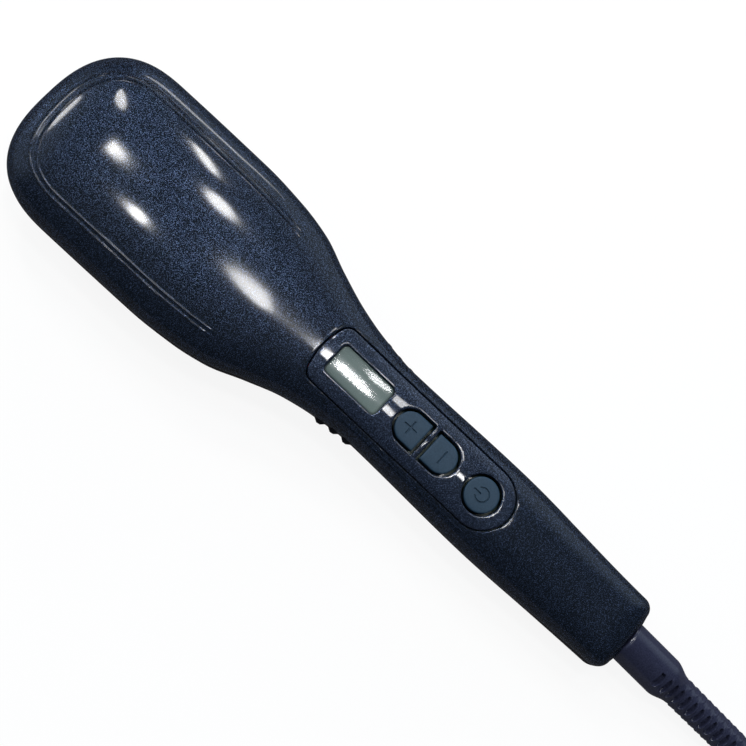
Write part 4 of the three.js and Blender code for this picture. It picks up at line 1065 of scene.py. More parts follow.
# Polished black: crisp reflections with a trace of flow waviness
GLOSS_ABS = Finish("polished_black_abs", "#07080d", Surface.MOULDED, 0.3, "#0c0d14", 14.0, 0.02,
                   spread=0.02, specular=0.0, coat=0.07, coat_roughness=0.08, coat_ior=2.0)
# Fine spark-eroded grain: matte and a little lighter than the gloss round it
KEY_ABS = Finish("spark_textured_key_abs", "#182c3c", Surface.SPARKED, 0.6, "#233a4c", 0.4, 0.02,
                 specular=0.25)
# Soft rubber that drinks light, with a faint sheen
BOOT_TPE = Finish("moulded_black_tpe", "#212334", Surface.SPARKED, 0.5, "#2d3043", 0.5, 0.02,
                  specular=0.0, coat=0.22, coat_roughness=0.18, coat_ior=2.0)
# Clear acrylic with a grey-green cast from the display behind it
WINDOW_ACRYLIC = Finish("acrylic_window", "#6b7a76", Surface.MOULDED, 0.1, "#7a8985", 10.0,
                        ior=1.49, alpha=0.3, spread=0.01, coat=1.0, coat_roughness=0.08)
# Liquid crystal cell, unlit: an even, dim grey-green
DISPLAY_CELL = Finish("lcd_cell", "#566361", Surface.MOULDED, 0.5, "#5d6a65", 6.0, specular=0.15)
# Undyed nylon: a waxy off-white
WHITE_NYLON = Finish("natural_nylon", "#dcdad0", Surface.MOULDED, 0.45, "#e8e6dd", 5.0)
# Black nylon off a spark-eroded tool: dark and matte
SWITCH_NYLON = Finish("black_switch_nylon", "#1b1b1e", Surface.SPARKED, 0.5, "#262629", 0.8)
# Glass-filled nylon: black, with a fine grain where fibres lie near the face
TOOTH_NYLON = Finish("glass_filled_black_nylon", "#1c1e24", Surface.SPARKED, 0.4, "#2a2d35", 0.7,
                     0.01)
# Ceramic fired on aluminium: dark, speckled and satin
COATED_PLATE = Finish("ceramic_coated_aluminium", "#23252d", Surface.FIRED, 0.36, "#343740", 0.6,
                      0.01, metallic=0.4)
# Fired alumina: chalky cream
ALUMINA = Finish("fired_alumina", "#d6cfbf", Surface.FIRED, 0.6, "#e2dccd", 0.8, 0.02)
# Mica flakes pressed into a sheet: mottled amber
MICA_SHEET = Finish("phlogopite_mica", "#9b7a45", Surface.FIRED, 0.4, "#c2a36d", 3.0, 0.02)
# Zinc on rolled steel: cool grey, its gloss drawn out along the rolling
ZINC_STEEL = Finish("zinc_plated_steel", "#a9adb3", Surface.ROLLED, 0.32, "#bfc3c9", 0.6,
                    metallic=1.0)
# Rolled brass: warm yellow with fine lines
BRASS_STRIP = Finish("rolled_brass", "#b8924a", Surface.ROLLED, 0.3, "#cfa95e", 0.6, metallic=1.0)
# Nickel on drawn brass: a warm silver gloss
NICKEL_PIN = Finish("nickel_plated_brass", "#bdb8ad", Surface.ROLLED, 0.25, "#cdc9bf", 0.6,
                    metallic=1.0)
# Solder mask over glass fibre: dark green with a clear gloss
BOARD_FR4 = Finish("solder_masked_fr4", "#0b2a19", Surface.MOULDED, 0.4, "#103621", 2.0, coat=0.2)
# Silicone sleeve: deep red and softly shiny
LEAD_SILICONE = Finish("silicone_insulation", "#8f1d18", Surface.MOULDED, 0.45, "#a2251f", 3.0)


def dress(piece: bpy.types.Object, finish: Finish) -> None:
    """Gives a piece or CAD node one finish."""
    piece.data.materials.clear()
    piece.data.materials.append(finish.material())


def settle(
    piece: bpy.types.Object, body: str, slot: str, finish: Finish, *nodes: str
) -> bpy.types.Object:
    """Dresses a piece, rides it on its body and lets it stand for its CAD nodes.

    Args:
        piece: the object.
        body: the body that it moves with.
        slot: the record's material slot; not used.
        finish: what it is made of.
        nodes: the CAD nodes that it replaces.

    Returns:
        The piece.
    """
    dress(piece, finish)
    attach(piece, body)
    if nodes:
        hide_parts(*nodes)
    LOG.info("%s: %d faces on %s", piece.name, len(piece.data.polygons), body)
    return piece


# Sub-assemblies


# Power by which boxy opens out the lower skins' sides
STEEP = 2.6


def arcsine(share: Array) -> Array:
    """Share to its angle over a right angle, which opens out a round rim."""
    return np.arcsin(np.clip(share, 0, 1)) * 2 / math.pi


def boxy(share: Array) -> Array:
    """1 - (1 - share)^(1/STEEP), which opens out a steep side."""
    return 1 - np.clip(1 - share, 0, None) ** (1 / STEEP)


def unboxed(share: Array) -> Array:
    """1 - (1 - share)^STEEP, which takes equal steps back to shares close at the side."""
    return 1 - (1 - share) ** STEEP


@dataclass
class Shells:
    """The three shells: back cover, head frame and grip."""

    cover_wall: float = 2.0
    wall: float = 2.6
    sleeve_hole: float = 8.3
    plate_inset: float = 9.7
    plate_end: float = 108.5
    rib_first: float = 151.7
    rib_pitch: float = 5.8
    rib_height: float = 1.2
    seam_round: float = 0.45
    well_radius: float = 2.3
    well_depth: float = 2.2
    well_reach: float = 3.0
    hole_reach: tuple[float, float] = (-3.7, 12.0)
    opening_gap: float = 0.1
    opening_step: float = 0.7
    plate_step: float = 1.0
    cover_rows: int = 36
    bead_rows: int = 27
    bead_reach: float = 2.6
    lower_rows: int = 30
    cut_points: int = 61
    cut_clear: float = 0.3
    head_screws: tuple[float, float] = (36.0, 90.0)
    handle_screws: tuple[float, float] = (125.0, 243.0)
    screw_inset: float = 5.45
    ribs: int = 3
    rib_half: float = 1.55
    rib_fade: tuple[float, float] = (0.8, 2.4)

    def hole_cutter(self, name: str) -> bpy.types.Object:
        """Cylinder along the swivel's axis that cuts the sleeve's way through the end."""
        rows = [[along, self.sleeve_hole] for along in self.hole_reach]
        return tube_mesh(name, from_exit(turned(rows, 96)))

    def well_cutter(self, places: list[tuple[float, float]]) -> bpy.types.Object:
        """Cylinders that sink a well round each screw's head, square to the ground.

        Args:
            places: stations and Y of the screws.

        Returns:
            One mesh of separate closed cylinders.
        """
        turn = around(40)
        ring = self.well_radius * np.stack([np.cos(turn), np.sin(turn)], 1)
        side = tube_faces(2, len(turn))
        points, faces = [], []
        for x, y in places:
            under = float(BODY.lower(x, BODY.share(x, y)))
            start = len(points) * 2 * len(turn)
            levels = [np.column_stack([ring + [x, y], np.full(len(turn), z)])
                      for z in (under - self.well_reach, under + self.well_depth)]
            points.append(np.concatenate(levels))
            faces += [[start + v for v in face] for face in side]
        return make_mesh("well_cutter", np.concatenate(points), faces)

    def cover(self) -> bpy.types.Object:
        """Back cover: the upper skin with the panel's opening, its edge turned down.

        Returns:
            The thickened and cut shell.
        """
        tau = np.linspace(0, 1, self.cover_rows)[1:-1]
        across = np.linspace(-self.bead_reach, self.bead_reach, self.bead_rows)
        beads = BODY.bead_share + across / BODY.half_head
        shares = np.sort(np.concatenate([np.sin(tau * math.pi / 2), beads]))
        edge = BODY.outline()
        opening = DECK.plan(DECK.panel(GAP + self.opening_gap), self.opening_step)
        contours = [Contour(edge), *rounded(opening, self.seam_round, 1)]
        skin = Skin("back_shell", edge, [opening], contours, grid_points(shares),
                    BODY.on_panel, unroll_with(arcsine), margin=0.22)
        piece = skin.open()
        thicken(piece, self.cover_wall)
        cut_away(piece, self.hole_cutter("cover_cutter"))
        return piece

    def lower_points(self) -> Array:
        """Plan points of the lower skins, closer together towards the steep sides."""
        return grid_points(unboxed(np.linspace(0, 1, self.lower_rows)[1:-1]))

    def lower_height(self, x: Array, y: Array) -> Array:
        """Height of the lower skin over plan points."""
        return BODY.lower(x, BODY.share(x, y))

    def cut_line(self, station: float, upwards: bool) -> Array:
        """Points across the body at a station, closer together towards its sides.

        Args:
            station: where the body is cut.
            upwards: from -Y to +Y, or else back.

        Returns:
            Plan points, the ends on the outline.
        """
        tau = np.linspace(-1, 1, self.cut_points)
        y = np.sign(tau) * unboxed(np.abs(tau)) * float(BODY.half_width(station))
        return np.column_stack([np.full(self.cut_points, station), y if upwards else y[::-1]])

    def frame(self) -> bpy.types.Object:
        """Head frame: the lower skin before the seam, with the heating plate's opening.

        Returns:
            The thickened and cut shell.
        """
        edge = BODY.outline()
        before = edge[edge[:, 0] < BODY.seam - self.cut_clear]
        below, above = before[before[:, 1] < 0], before[before[:, 1] >= 0]
        outer = np.concatenate([below, self.cut_line(BODY.seam, True), above])
        inset = moved(edge, -self.plate_inset)
        inset = inset[inset[:, 0] < self.plate_end]
        half = float(BODY.half_width(self.plate_end)) - self.plate_inset
        low, high = inset[inset[:, 1] < 0], inset[inset[:, 1] >= 0]
        corners = np.array([[self.plate_end, -half], [self.plate_end, half]])
        opening = resample(np.concatenate([low, corners, high]), self.plate_step)
        skin = Skin("head_shell", outer, [opening], [Contour(outer), Contour(opening)],
                    self.lower_points(), self.lower_height, unroll_with(boxy), margin=0.3)
        piece = skin.open(upwards=False)
        thicken(piece, self.wall)
        screws = [(x, side * self.screw_y(x)) for x in self.head_screws for side in (-1, 1)]
        cut_away(piece, self.well_cutter(screws))
        return piece

    def screw_y(self, station: float) -> float:
        """Distance of a head screw from the centre line, in from the outline."""
        return float(BODY.half_width(station)) - self.screw_inset

    def raise_ribs(self, piece: bpy.types.Object) -> None:
        """Lifts three bands round the neck by rib_height along the skin's own direction.

        Each band is a flat-topped bell, and it fades in below the parting.

        Args:
            piece: the open grip skin.
        """
        mesh = piece.data
        count = len(mesh.vertices)
        place, normal = np.empty(count * 3), np.empty(count * 3)
        mesh.vertices.foreach_get("co", place)
        mesh.vertex_normals.foreach_get("vector", normal)
        place, normal = place.reshape(-1, 3), normal.reshape(-1, 3)
        station = place[:, 0] / MM + BODY.shift
        ribs = sum(
            np.exp(-(((station - self.rib_first - k * self.rib_pitch) / self.rib_half) ** 4))
            for k in range(self.ribs)
        )
        below = smoothstep(BODY.parting(station) - place[:, 2] / MM, *self.rib_fade)
        place += normal * (self.rib_height * ribs * below * MM)[:, None]
        mesh.vertices.foreach_set("co", place.ravel())
        mesh.update()

    def grip(self) -> bpy.types.Object:
        """Grip shell: the lower skin behind the seam, ribbed under the neck.

        Returns:
            The thickened and cut shell.
        """
        edge = BODY.outline()
        start = BODY.seam + GAP
        behind = edge[edge[:, 0] > start + self.cut_clear]
        outer = np.concatenate([behind, self.cut_line(start, False)])
        skin = Skin("grip_half", outer, [], [Contour(outer)],
                    self.lower_points(), self.lower_height, unroll_with(boxy), margin=0.3)
        piece = skin.open(upwards=False)
        self.raise_ribs(piece)
        thicken(piece, self.wall)
        cut_away(piece, self.hole_cutter("grip_cutter"))
        cut_away(piece, self.well_cutter([(x, 0) for x in self.handle_screws]))
        return piece

    def build(self) -> None:
        """Makes and settles the three shells."""
        settle(self.cover(), "housing", "pearl_gloss", PEARL_ABS, "back_cover")
        settle(self.frame(), "housing", "black_gloss", GLOSS_ABS, "head_frame")
        settle(self.grip(), "housing", "black_gloss", GLOSS_ABS, "grip_shell")


@dataclass
class Controls:
    """Control panel, its window and its three push buttons."""

    panel_wall: float = 1.4
    lens_sink: float = 0.3
    lens_dome: float = 0.17
    dome_shift: float = 4.5
    lens_wall: float = 1.4
    clearance: float = 0.95
    key_sink: float = 0.1
    key_wall: float = 3.2
    groove: float = 0.5
    slope: float = 0.22
    seam_round: float = 0.55
    hole_round: float = 0.5
    lens_round: float = 0.4
    key_round: float = 0.45
    panel_step: float = 0.6
    hole_step: float = 0.45
    key_step: float = 0.4
    stroke_step: float = 0.25

    def field_points(self, loop: Array, step: float) -> Array:
        """Square grid of plan points over a loop's box.

        Args:
            loop: (n, 2) corners.
            step: distance between the points.

        Returns:
            Points (m, 2).
        """
        low, high = loop.min(0), loop.max(0)
        x, y = np.meshgrid(np.arange(low[0], high[0], step), np.arange(low[1], high[1], step))
        return np.column_stack([x.ravel(), y.ravel()])

    def lowered(self, depth: float) -> Height:
        """The panel's height function, a depth lower."""
        return lambda x, y: BODY.on_panel(x, y) - depth

    def panel(self) -> bpy.types.Object:
        """Panel plate: follows the handle's back, each edge turned down by a fine round.

        Returns:
            The closed plate.
        """
        outer = DECK.plan(DECK.panel(), self.panel_step)
        openings = [DECK.window(), DECK.key(-1), DECK.key(1), DECK.power()]
        holes = [DECK.plan(loop, self.hole_step) for loop in openings]
        contours = rounded(outer, self.seam_round, -1)
        for hole in holes:
            contours += rounded(hole, self.hole_round, 1)
        skin = Skin("panel_plate", outer, holes, contours, self.field_points(outer, 0.75),
                    BODY.on_panel, margin=0.3)
        return skin.slab(self.panel_wall)

    def lens_height(self, x: Array, y: Array) -> Array:
        """Height of the window: the panel's, less the sink, plus a parabola along the brush.

        Args:
            x: stations.
            y: distances from the centre line.

        Returns:
            Heights over the ground.
        """
        middle = DECK.station(DECK.window_at) - self.dome_shift
        dome = self.lens_dome * (1 - ((x - middle) / DECK.window_reach) ** 2)
        return BODY.on_panel(x, y) - self.lens_sink + dome

    def lens(self) -> bpy.types.Object:
        """Display window: a clear domed plate with a fine round along its edge.

        Returns:
            The closed plate.
        """
        outer = DECK.plan(DECK.window(-GAP), self.hole_step)
        skin = Skin("window_plate", outer, [], rounded(outer, self.lens_round, -1),
                    self.field_points(outer, 0.4), self.lens_height, margin=0.25)
        return skin.slab(self.lens_wall)

    def key(self, name: str, loop: Array, strokes: list[Array]) -> bpy.types.Object:
        """Push button: rounded edge and a symbol sunk into its top by a sloping groove.

        Args:
            name: the piece's name.
            loop: the cap's outline on the panel.
            strokes: the symbol's outlines on the panel.

        Returns:
            The button's cap.
        """
        outer = DECK.plan(loop, self.key_step)
        contours = rounded(outer, self.key_round, -1)
        for stroke in strokes:
            line = DECK.plan(stroke, self.stroke_step)
            contours += [Contour(line), Contour(moved(line, -self.slope), self.groove)]
        skin = Skin(name, outer, [], contours, self.field_points(outer, 0.55),
                    self.lowered(self.key_sink), margin=0.25)
        return skin.slab(self.key_wall)

    def build(self) -> None:
        """Makes and settles the panel, window and buttons."""
        settle(self.panel(), "housing", "pearl_gloss", PANEL_ABS, "control_panel")
        settle(self.lens(), "housing", "clear_lens", WINDOW_ACRYLIC, "display_lens")
        keys = {
            "plus": (DECK.key(-1, -self.clearance), DECK.plus_strokes()),
            "minus": (DECK.key(1, -self.clearance), DECK.minus_strokes()),
            "power": (DECK.power(-self.clearance), DECK.power_strokes()),
        }
        for name, (loop, strokes) in keys.items():
            cap = self.key(f"{name}_cap", loop, strokes)
            settle(cap, f"{name}_key", "key_grey", KEY_ABS, f"{name}_button")


@dataclass
class Swivel:
    """The rubber boot: sleeve, rounded shoulder and slotted strain relief."""

    sleeve: float = 8.0
    relief: float = 6.0
    slot_pitch: float = 3.5
    slot_length: float = 2.0
    slot_half: float = 3.1
    slot_depth: float = 1.9
    side_depth: float = 0.4
    slot_facing: float = 0.4
    roll: float = 25.0
    lip: float = 0.16
    sleeve_end: float = 18.5
    relief_start: float = 26.5
    taper: float = 0.4
    taper_length: float = 38.0
    inner_edge: tuple[float, float] = (-2.5, -1.6)
    inner_round: float = 0.5
    outer_edge: tuple[float, float] = (61.1, 62.0)
    outer_round: float = 0.6
    first_slots: tuple[float, float] = (15.6, 27.3)
    last_slot: float = 60.0
    slot_power: float = 2.6
    slot_wall: tuple[float, float] = (0.84, 1.05)
    lip_at: float = 1.2
    lip_width: float = 0.16
    pole: float = 0.05
    segments: int = 128

    def radius(self, u: Array) -> Array:
        """Outer radius along the axis: sleeve, a round shoulder, then a slight taper.

        Both ends of the boot are eased in.

        Args:
            u: distances along the axis.

        Returns:
            Radii without the slots.
        """
        collar = smoothstep(u, self.sleeve_end, self.relief_start)
        taper = self.taper * np.clip((u - self.relief_start) / self.taper_length, 0, 1)
        edge = self.inner_round * (1 - smoothstep(u, *self.inner_edge))
        edge = edge + self.outer_round * smoothstep(u, *self.outer_edge)
        return self.sleeve + (self.relief - self.sleeve) * collar - taper - edge

    def slots(self, u: Array, turn: Array, radius: Array) -> Array:
        """Depth of the slots: round-ended pockets in rows on four sides, two by two.

        A pocket is deep where the distances along and across its middle, over its half
        sizes, stay under one as a superellipse. A fine raised lip, a bell curve, follows its
        far side, where the moulding catches the light.

        Args:
            u: distances along the axis.
            turn: angles about it.
            radius: the boot's radius at each.

        Returns:
            How far the skin lies under the radius, less than 0 on a lip.
        """
        depth = np.zeros_like(radius)
        power = self.slot_power
        for quarter in range(4):
            first = self.first_slots[quarter % 2]
            side = turn - math.radians(90 + self.roll) - quarter * math.pi / 2
            across = radius * np.sin(side) / self.slot_half
            facing = np.cos(side) > self.slot_facing
            phase = (u - first) / self.slot_pitch
            row = np.round(phase)
            along = (phase - row) * self.slot_pitch / (self.slot_length / 2)
            last = np.floor((self.last_slot - first) / self.slot_pitch)
            lies = (np.abs(across) ** power + np.abs(along) ** power) ** (1 / power)
            pocket = 1 - smoothstep(lies, *self.slot_wall)
            pocket *= self.slot_depth if quarter % 2 == 0 else self.side_depth
            lip = self.lip * np.exp(-(((lies - self.lip_at) / self.lip_width) ** 2))
            pocket -= lip * (along > 0)
            there = facing & (row >= 0) & (row <= last)
            depth = np.where(there, pocket + depth * (pocket <= 0), depth)
        return depth

    def build(self) -> None:
        """Makes the boot as radius over (along, turn), with its shaft inside the handle."""
        inner = [[-25.5, self.pole], [-25.5, 2.4], [-10.8, 2.4], [-10.8, 4.9],
                 [-8.8, 4.9], [-8.8, 3.2], [-2.5, 3.2]]
        segments, turn = self.segments, around(self.segments)
        plain = [np.linspace(-2.5, -1.5, 8), np.linspace(-1.2, 16, 20)]
        u = np.concatenate([*plain, np.arange(16.2, 62.01, 0.22)])
        base = np.repeat(self.radius(u)[:, None], segments, 1)
        radius = base - self.slots(u[:, None], turn[None], base)
        along = np.repeat(u[:, None], segments, 1)
        skin = np.stack([along, radius * np.cos(turn), radius * np.sin(turn)], -1)
        cap = turned([[BODY.boot_length, self.pole]], segments)
        rings = np.concatenate([turned(inner, segments), skin, cap])
        piece = tube_mesh("cord_boot", from_exit(rings))
        piece.data.set_sharp_from_angle(angle=math.radians(45))
        settle(piece, "swivel", "black_rubber", BOOT_TPE, "swivel_boot")


@dataclass
class Cord:
    """The mains cord: a free lead, a flat round coil and a tail to the plug."""

    diameter: float = 6.0
    coil_radius: float = 49.0
    coil_pitch: float = 6.45
    turns: float = 3.375
    centre: tuple[float, float] = (139.9, -4.0)
    steps: int = 24
    tuck: float = 1.2
    first_angle: float = 150.0
    cuts: int = 4
    lead: tuple[Place, ...] = (
        (60.6, 0, 6.5), (67.25, 0, 5.34), (76, 1, 4.1), (83.3, 4, 3.35), (89.5, 8.8, 3.05),
    )
    tail: tuple[Place, ...] = (
        (176, 31.8, 9.4), (187, 25, 8.6), (198, 16.5, 7.4), (204.8, 7.5, 6.9), (206, 2, 6.85),
        (206, -1.2, 6.85),
    )

    def coil(self) -> Array:
        """Spirals in over the first layer, climbs in a half turn and spirals out again.

        Returns:
            Points (n, 3) past the handle's end.
        """
        layer, climb = self.turns * self.steps, self.steps / 2
        i = np.arange(2 * layer + climb + 1)
        climbed = np.clip((i - layer) / climb, 0, 1)
        run = np.clip(i - layer - climb, 0, None) - np.minimum(i, layer)
        radius = self.coil_radius + self.coil_pitch * run / self.steps
        radius -= self.tuck * np.sin(climbed * math.pi)
        angle = math.radians(self.first_angle) - 2 * math.pi * i / self.steps
        x = self.centre[0] + radius * np.cos(angle)
        y = self.centre[1] + radius * np.sin(angle)
        return np.stack([x, y, self.diameter / 2 + self.coil_pitch * climbed], 1)

    def route(self) -> Array:
        """Smooth line through every point of lead, coil and tail, by centripetal cubics.

        Returns:
            Points (n, 3), stations, Y and Z.
        """
        knots = np.concatenate([self.lead, self.coil(), self.tail]) + [BODY.length, 0, 0]
        apart = np.linalg.norm(np.diff(knots, axis=0), axis=1)
        at = np.concatenate([[0], np.cumsum(apart ** 0.5)])
        slope = np.gradient(knots, at, axis=0)
        u = np.linspace(0, 1, self.cuts + 1)[:-1]
        span = np.diff(at)[:, None, None]
        rise = (u * u * (3 - 2 * u))[None, :, None]
        near = (u * (1 - u) ** 2)[None, :, None]
        far = (u * u * (1 - u))[None, :, None]
        line = knots[:-1, None] * (1 - rise) + knots[1:, None] * rise
        line = line + span * (slope[:-1, None] * near - slope[1:, None] * far)
        return np.concatenate([line.reshape(-1, 3), knots[-1:]])

    def sweep(self, line: Array, radius: float, sides: int = 20) -> Array:
        """Rings square to a line, each on the level direction across it.

        Args:
            line: (n, 3) points.
            radius: the rings' radius.
            sides: points in a ring.

        Returns:
            Points (n, sides, 3).
        """
        along = np.gradient(line, axis=0)
        along /= np.linalg.norm(along, axis=1, keepdims=True)
        across = np.cross(along, [0, 0, 1.0])
        across /= np.linalg.norm(across, axis=1, keepdims=True)
        over = np.cross(across, along)
        turn = around(sides)
        c, s = np.cos(turn)[None, :, None], np.sin(turn)[None, :, None]
        return line[:, None] + radius * (c * across[:, None] + s * over[:, None])

    def build(self, plug: Sequence[bpy.types.Object]) -> None:
        """Args:
            plug: the plug's pieces, which ride the same body as the cord; not used.
        """
        line = self.route()
        length = float(np.linalg.norm(np.diff(line, axis=0), axis=1).sum())
        piece = tube_mesh("mains_cord", self.sweep(line, self.diameter / 2))
        settle(piece, "housing", "black_rubber", BOOT_TPE, "cord_lead", "cord_coil", "cord_tail")
        LOG.info("cord measures %.0f mm", length)


@dataclass
class Plug:
    """Flat two-pin plug, lying on its side beside the coil."""

    place: Place = (493.0, -1.0, 6.85)
    half_width: float = 17.65
    half_height: float = 6.85
    neck: float = 5.5
    length: float = 36.0
    pin_radius: float = 2.0
    pin_spacing: float = 18.6
    pin_length: float = 19.0
    widening: tuple[float, float] = (0.05, 0.66)
    round_share: float = 0.03
    neck_round: float = 0.12
    face_round: float = 0.06
    ribbed: tuple[float, float] = (0.1, 0.5)
    ribs: int = 9
    rib_depth: float = 0.35

    def rounding(self, way: Array, depth: float) -> Array:
        """Share that a quarter round leaves: 1 - depth * (1 - sqrt(1 - (1 - way)^2))."""
        way = np.minimum(way / self.round_share, 1)
        return 1 - depth * (1 - np.sqrt(np.clip(1 - (1 - way) ** 2, 0, 1)))

    def body(self) -> bpy.types.Object:
        """Rings of superellipses that widen from the cord's neck to the pins' face.

        Returns:
            The closed moulding, its two ends rounded off and ribbed for the fingers.
        """
        s = np.concatenate([[0, 0.004, 0.015], np.linspace(0.03, 0.97, 60), [0.985, 0.996, 1]])
        turn = around(72)
        widen = smoothstep(s, *self.widening)
        edge = self.rounding(s, self.neck_round) * self.rounding(1 - s, self.face_round)
        low, high = self.ribbed
        waves = np.clip(np.sin((s - low) * 2 * math.pi * self.ribs), 0, 1)
        ribs = self.rib_depth * waves * ((s > low) & (s < high))
        width = (self.neck + (self.half_width - self.neck) * widen) * edge - ribs
        height = (self.neck + (self.half_height - self.neck) * widen) * edge - ribs
        power = 2 / (2.2 + 1.8 * widen)
        c, d = np.cos(turn), np.sin(turn)
        x = width[:, None] * np.sign(c) * np.abs(c) ** power[:, None]
        z = height[:, None] * np.sign(d) * np.abs(d) ** power[:, None]
        y = np.repeat(-self.length * s[:, None], len(turn), 1)
        return tube_mesh("plug_moulding", np.stack([x, y, z], -1) + np.array(self.place))

    def pin(self, side: int, name: str) -> bpy.types.Object:
        """Pin with a rounded nose, turned about its own line.

        Args:
            side: -1 or 1, the side of the plug's middle.
            name: the piece's name.

        Returns:
            The closed pin.
        """
        r, length = self.pin_radius, self.pin_length
        nose = np.radians(np.linspace(0, 80, 8))
        along = np.concatenate([[0], length - r + r * np.sin(nose)])
        radius = np.concatenate([[r], r * np.cos(nose)])
        turn = around(28)
        x = radius[:, None] * np.cos(turn) + side * self.pin_spacing / 2
        z = radius[:, None] * np.sin(turn)
        y = np.repeat(-(self.length + GAP + along)[:, None], len(turn), 1)
        return tube_mesh(name, np.stack([x, y, z], -1) + np.array(self.place))

    def build(self) -> list[bpy.types.Object]:
        """Makes and settles the plug's pieces.

        Returns:
            The moulding and its pins.
        """
        moulding = settle(self.body(), "housing", "black_rubber", BOOT_TPE, "plug_body")
        pins = [
            settle(self.pin(side, f"pin_{k}"), "housing", "nickel", NICKEL_PIN, f"plug_pin_{k}")
            for k, side in ((1, -1), (2, 1))
        ]
        return [moulding, *pins]


@dataclass
class Teeth:
    """Ten rows of round-tipped teeth on rails under the heating plate."""

    rows: int = 10
    first: float = 18.0
    pitch: float = 9.6
    tooth_pitch: float = 6.5
    rail_half: float = 1.7
    rail_bottom: float = 16.8
    rail_top: float = 18.6
    end_margin: float = 1.5
    ball: float = 1.25
    stem: tuple[tuple[float, float], ...] = ((4.5, 0.86), (9.0, 1.05), (14.0, 1.3), (17.6, 1.5))
    sides: int = 16

    def tooth(self) -> Array:
        """Rings of a tooth: a ball tip on the ground, a slim neck and a wider root.

        Returns:
            Points (rows, columns, 3).
        """
        tip = np.radians(np.linspace(-85, 60, 9))
        heights, radii = np.transpose(self.stem)
        z = np.concatenate([self.ball + self.ball * np.sin(tip), heights])
        r = np.concatenate([self.ball * np.cos(tip), radii])
        turn = around(self.sides)
        x, y = r[:, None] * np.cos(turn), r[:, None] * np.sin(turn)
        return np.stack([x, y, np.repeat(z[:, None], self.sides, 1)], -1)

    def build(self) -> None:
        """Makes each row as one mesh: its teeth and a rail as long as its CAD strip."""
        ring = self.tooth()
        rows, columns = ring.shape[:2]
        faces = tube_faces(rows, columns)
        for k in range(self.rows):
            _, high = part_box(f"tooth_row_{k + 1}")
            half = high[1] / MM
            count = int((half - self.end_margin) / self.tooth_pitch)
            at = self.first + k * self.pitch
            points, all_faces = [], []
            for j in range(-count, count + 1):
                start = len(points) * rows * columns
                points.append(ring.reshape(-1, 3) + [at, j * self.tooth_pitch, 0])
                all_faces += [[start + v for v in face] for face in faces]
            start = len(points) * rows * columns
            a = np.array([at - self.rail_half, -half, self.rail_bottom])
            b = np.array([at + self.rail_half, half, self.rail_top])
            corner = np.array([[i & 1, (i >> 1) & 1, (i >> 2) & 1] for i in range(8)])
            points.append(a + corner * (b - a))
            box = [[0, 2, 3, 1], [4, 5, 7, 6], [0, 1, 5, 4],
                   [2, 6, 7, 3], [0, 4, 6, 2], [1, 3, 7, 5]]
            all_faces += [[start + v for v in face] for face in box]
            piece = make_mesh(f"teeth_{k + 1}", np.concatenate(points), all_faces)
            piece.data.set_sharp_from_angle(angle=math.radians(40))
            settle(piece, "housing", "tooth_black", TOOTH_NYLON, f"tooth_row_{k + 1}")


INNER_FINISHES = {
    "display_glass": DISPLAY_CELL, "display_backlight": WHITE_NYLON, "circuit_board": BOARD_FR4,
    "power_triac": SWITCH_NYLON, "filter_capacitor": ZINC_STEEL, "heater_connector": WHITE_NYLON,
    "heating_plate": COATED_PLATE, "clamp_plate": ZINC_STEEL, "insulation_sheet": MICA_SHEET,
    "heat_shield": ZINC_STEEL, "thermal_fuse": ZINC_STEEL, "temperature_sensor": ALUMINA,
    "contact_block": WHITE_NYLON,
}
FAMILY_FINISHES = {
    "handle_screw": ZINC_STEEL, "head_screw": ZINC_STEEL, "heater_element": ALUMINA,
    "heater_lead": LEAD_SILICONE, "swivel_bush": WHITE_NYLON, "slip_ring": BRASS_STRIP,
    "contact_blade": BRASS_STRIP,
}


def dress_nodes(nodes: dict[str, bpy.types.Object]) -> None:
    """Gives each CAD node that still shows the finish of its real material.

    Args:
        nodes: the frame's nodes by name.
    """
    for name, node in nodes.items():
        family = next((f for key, f in FAMILY_FINISHES.items() if name.startswith(key)), None)
        finish = INNER_FINISHES.get(name, family)
        if finish is None:
            finish = WHITE_NYLON if name.endswith("_plunger") else SWITCH_NYLON
        dress(node, finish)


# Studio

WHITE = (1.0, 1.0, 1.0, 1.0)


@dataclass(frozen=True)
class Zone:
    """Soft bright part of the room, round a middle direction about a unit long.

    Its reach holds the cosines of the angles at which it starts and is full.
    """

    middle: Place
    reach: tuple[float, float]
    strength: float

    def build(self, tree: bpy.types.NodeTree, place: bpy.types.NodeSocket) -> bpy.types.NodeSocket:
        """Strength that rises smoothly from 0 to full as the direction nears the middle.

        Args:
            tree: the world's nodes.
            place: the direction looked in.

        Returns:
            The socket that carries it.
        """
        near = add(tree, "ShaderNodeVectorMath", {0: place}, operation="DOT_PRODUCT")
        near.inputs[1].default_value = self.middle
        return add(tree, "ShaderNodeMapRange", {"Value": near.outputs["Value"]},
                   interpolation_type="SMOOTHSTEP", From_Min=self.reach[0],
                   From_Max=self.reach[1], To_Max=self.strength).outputs[0]


@dataclass(frozen=True)
class Lamp:
    """Soft elliptical lamp that faces the brush: its place and sides in metres, and watts."""

    name: str
    at: Place
    sides: tuple[float, float]
    watts: float

    def build(self) -> None:
        """Makes the lamp, its first side along X."""
        data = bpy.data.lights.new(self.name, "AREA")
        data.shape, data.energy = "ELLIPSE", self.watts
        data.size, data.size_y = self.sides
        lamp = placed(self.name, data)
        lamp.location = self.at
        lamp.rotation_euler = (-Vector(self.at)).to_track_quat("-Z", "Y").to_euler()


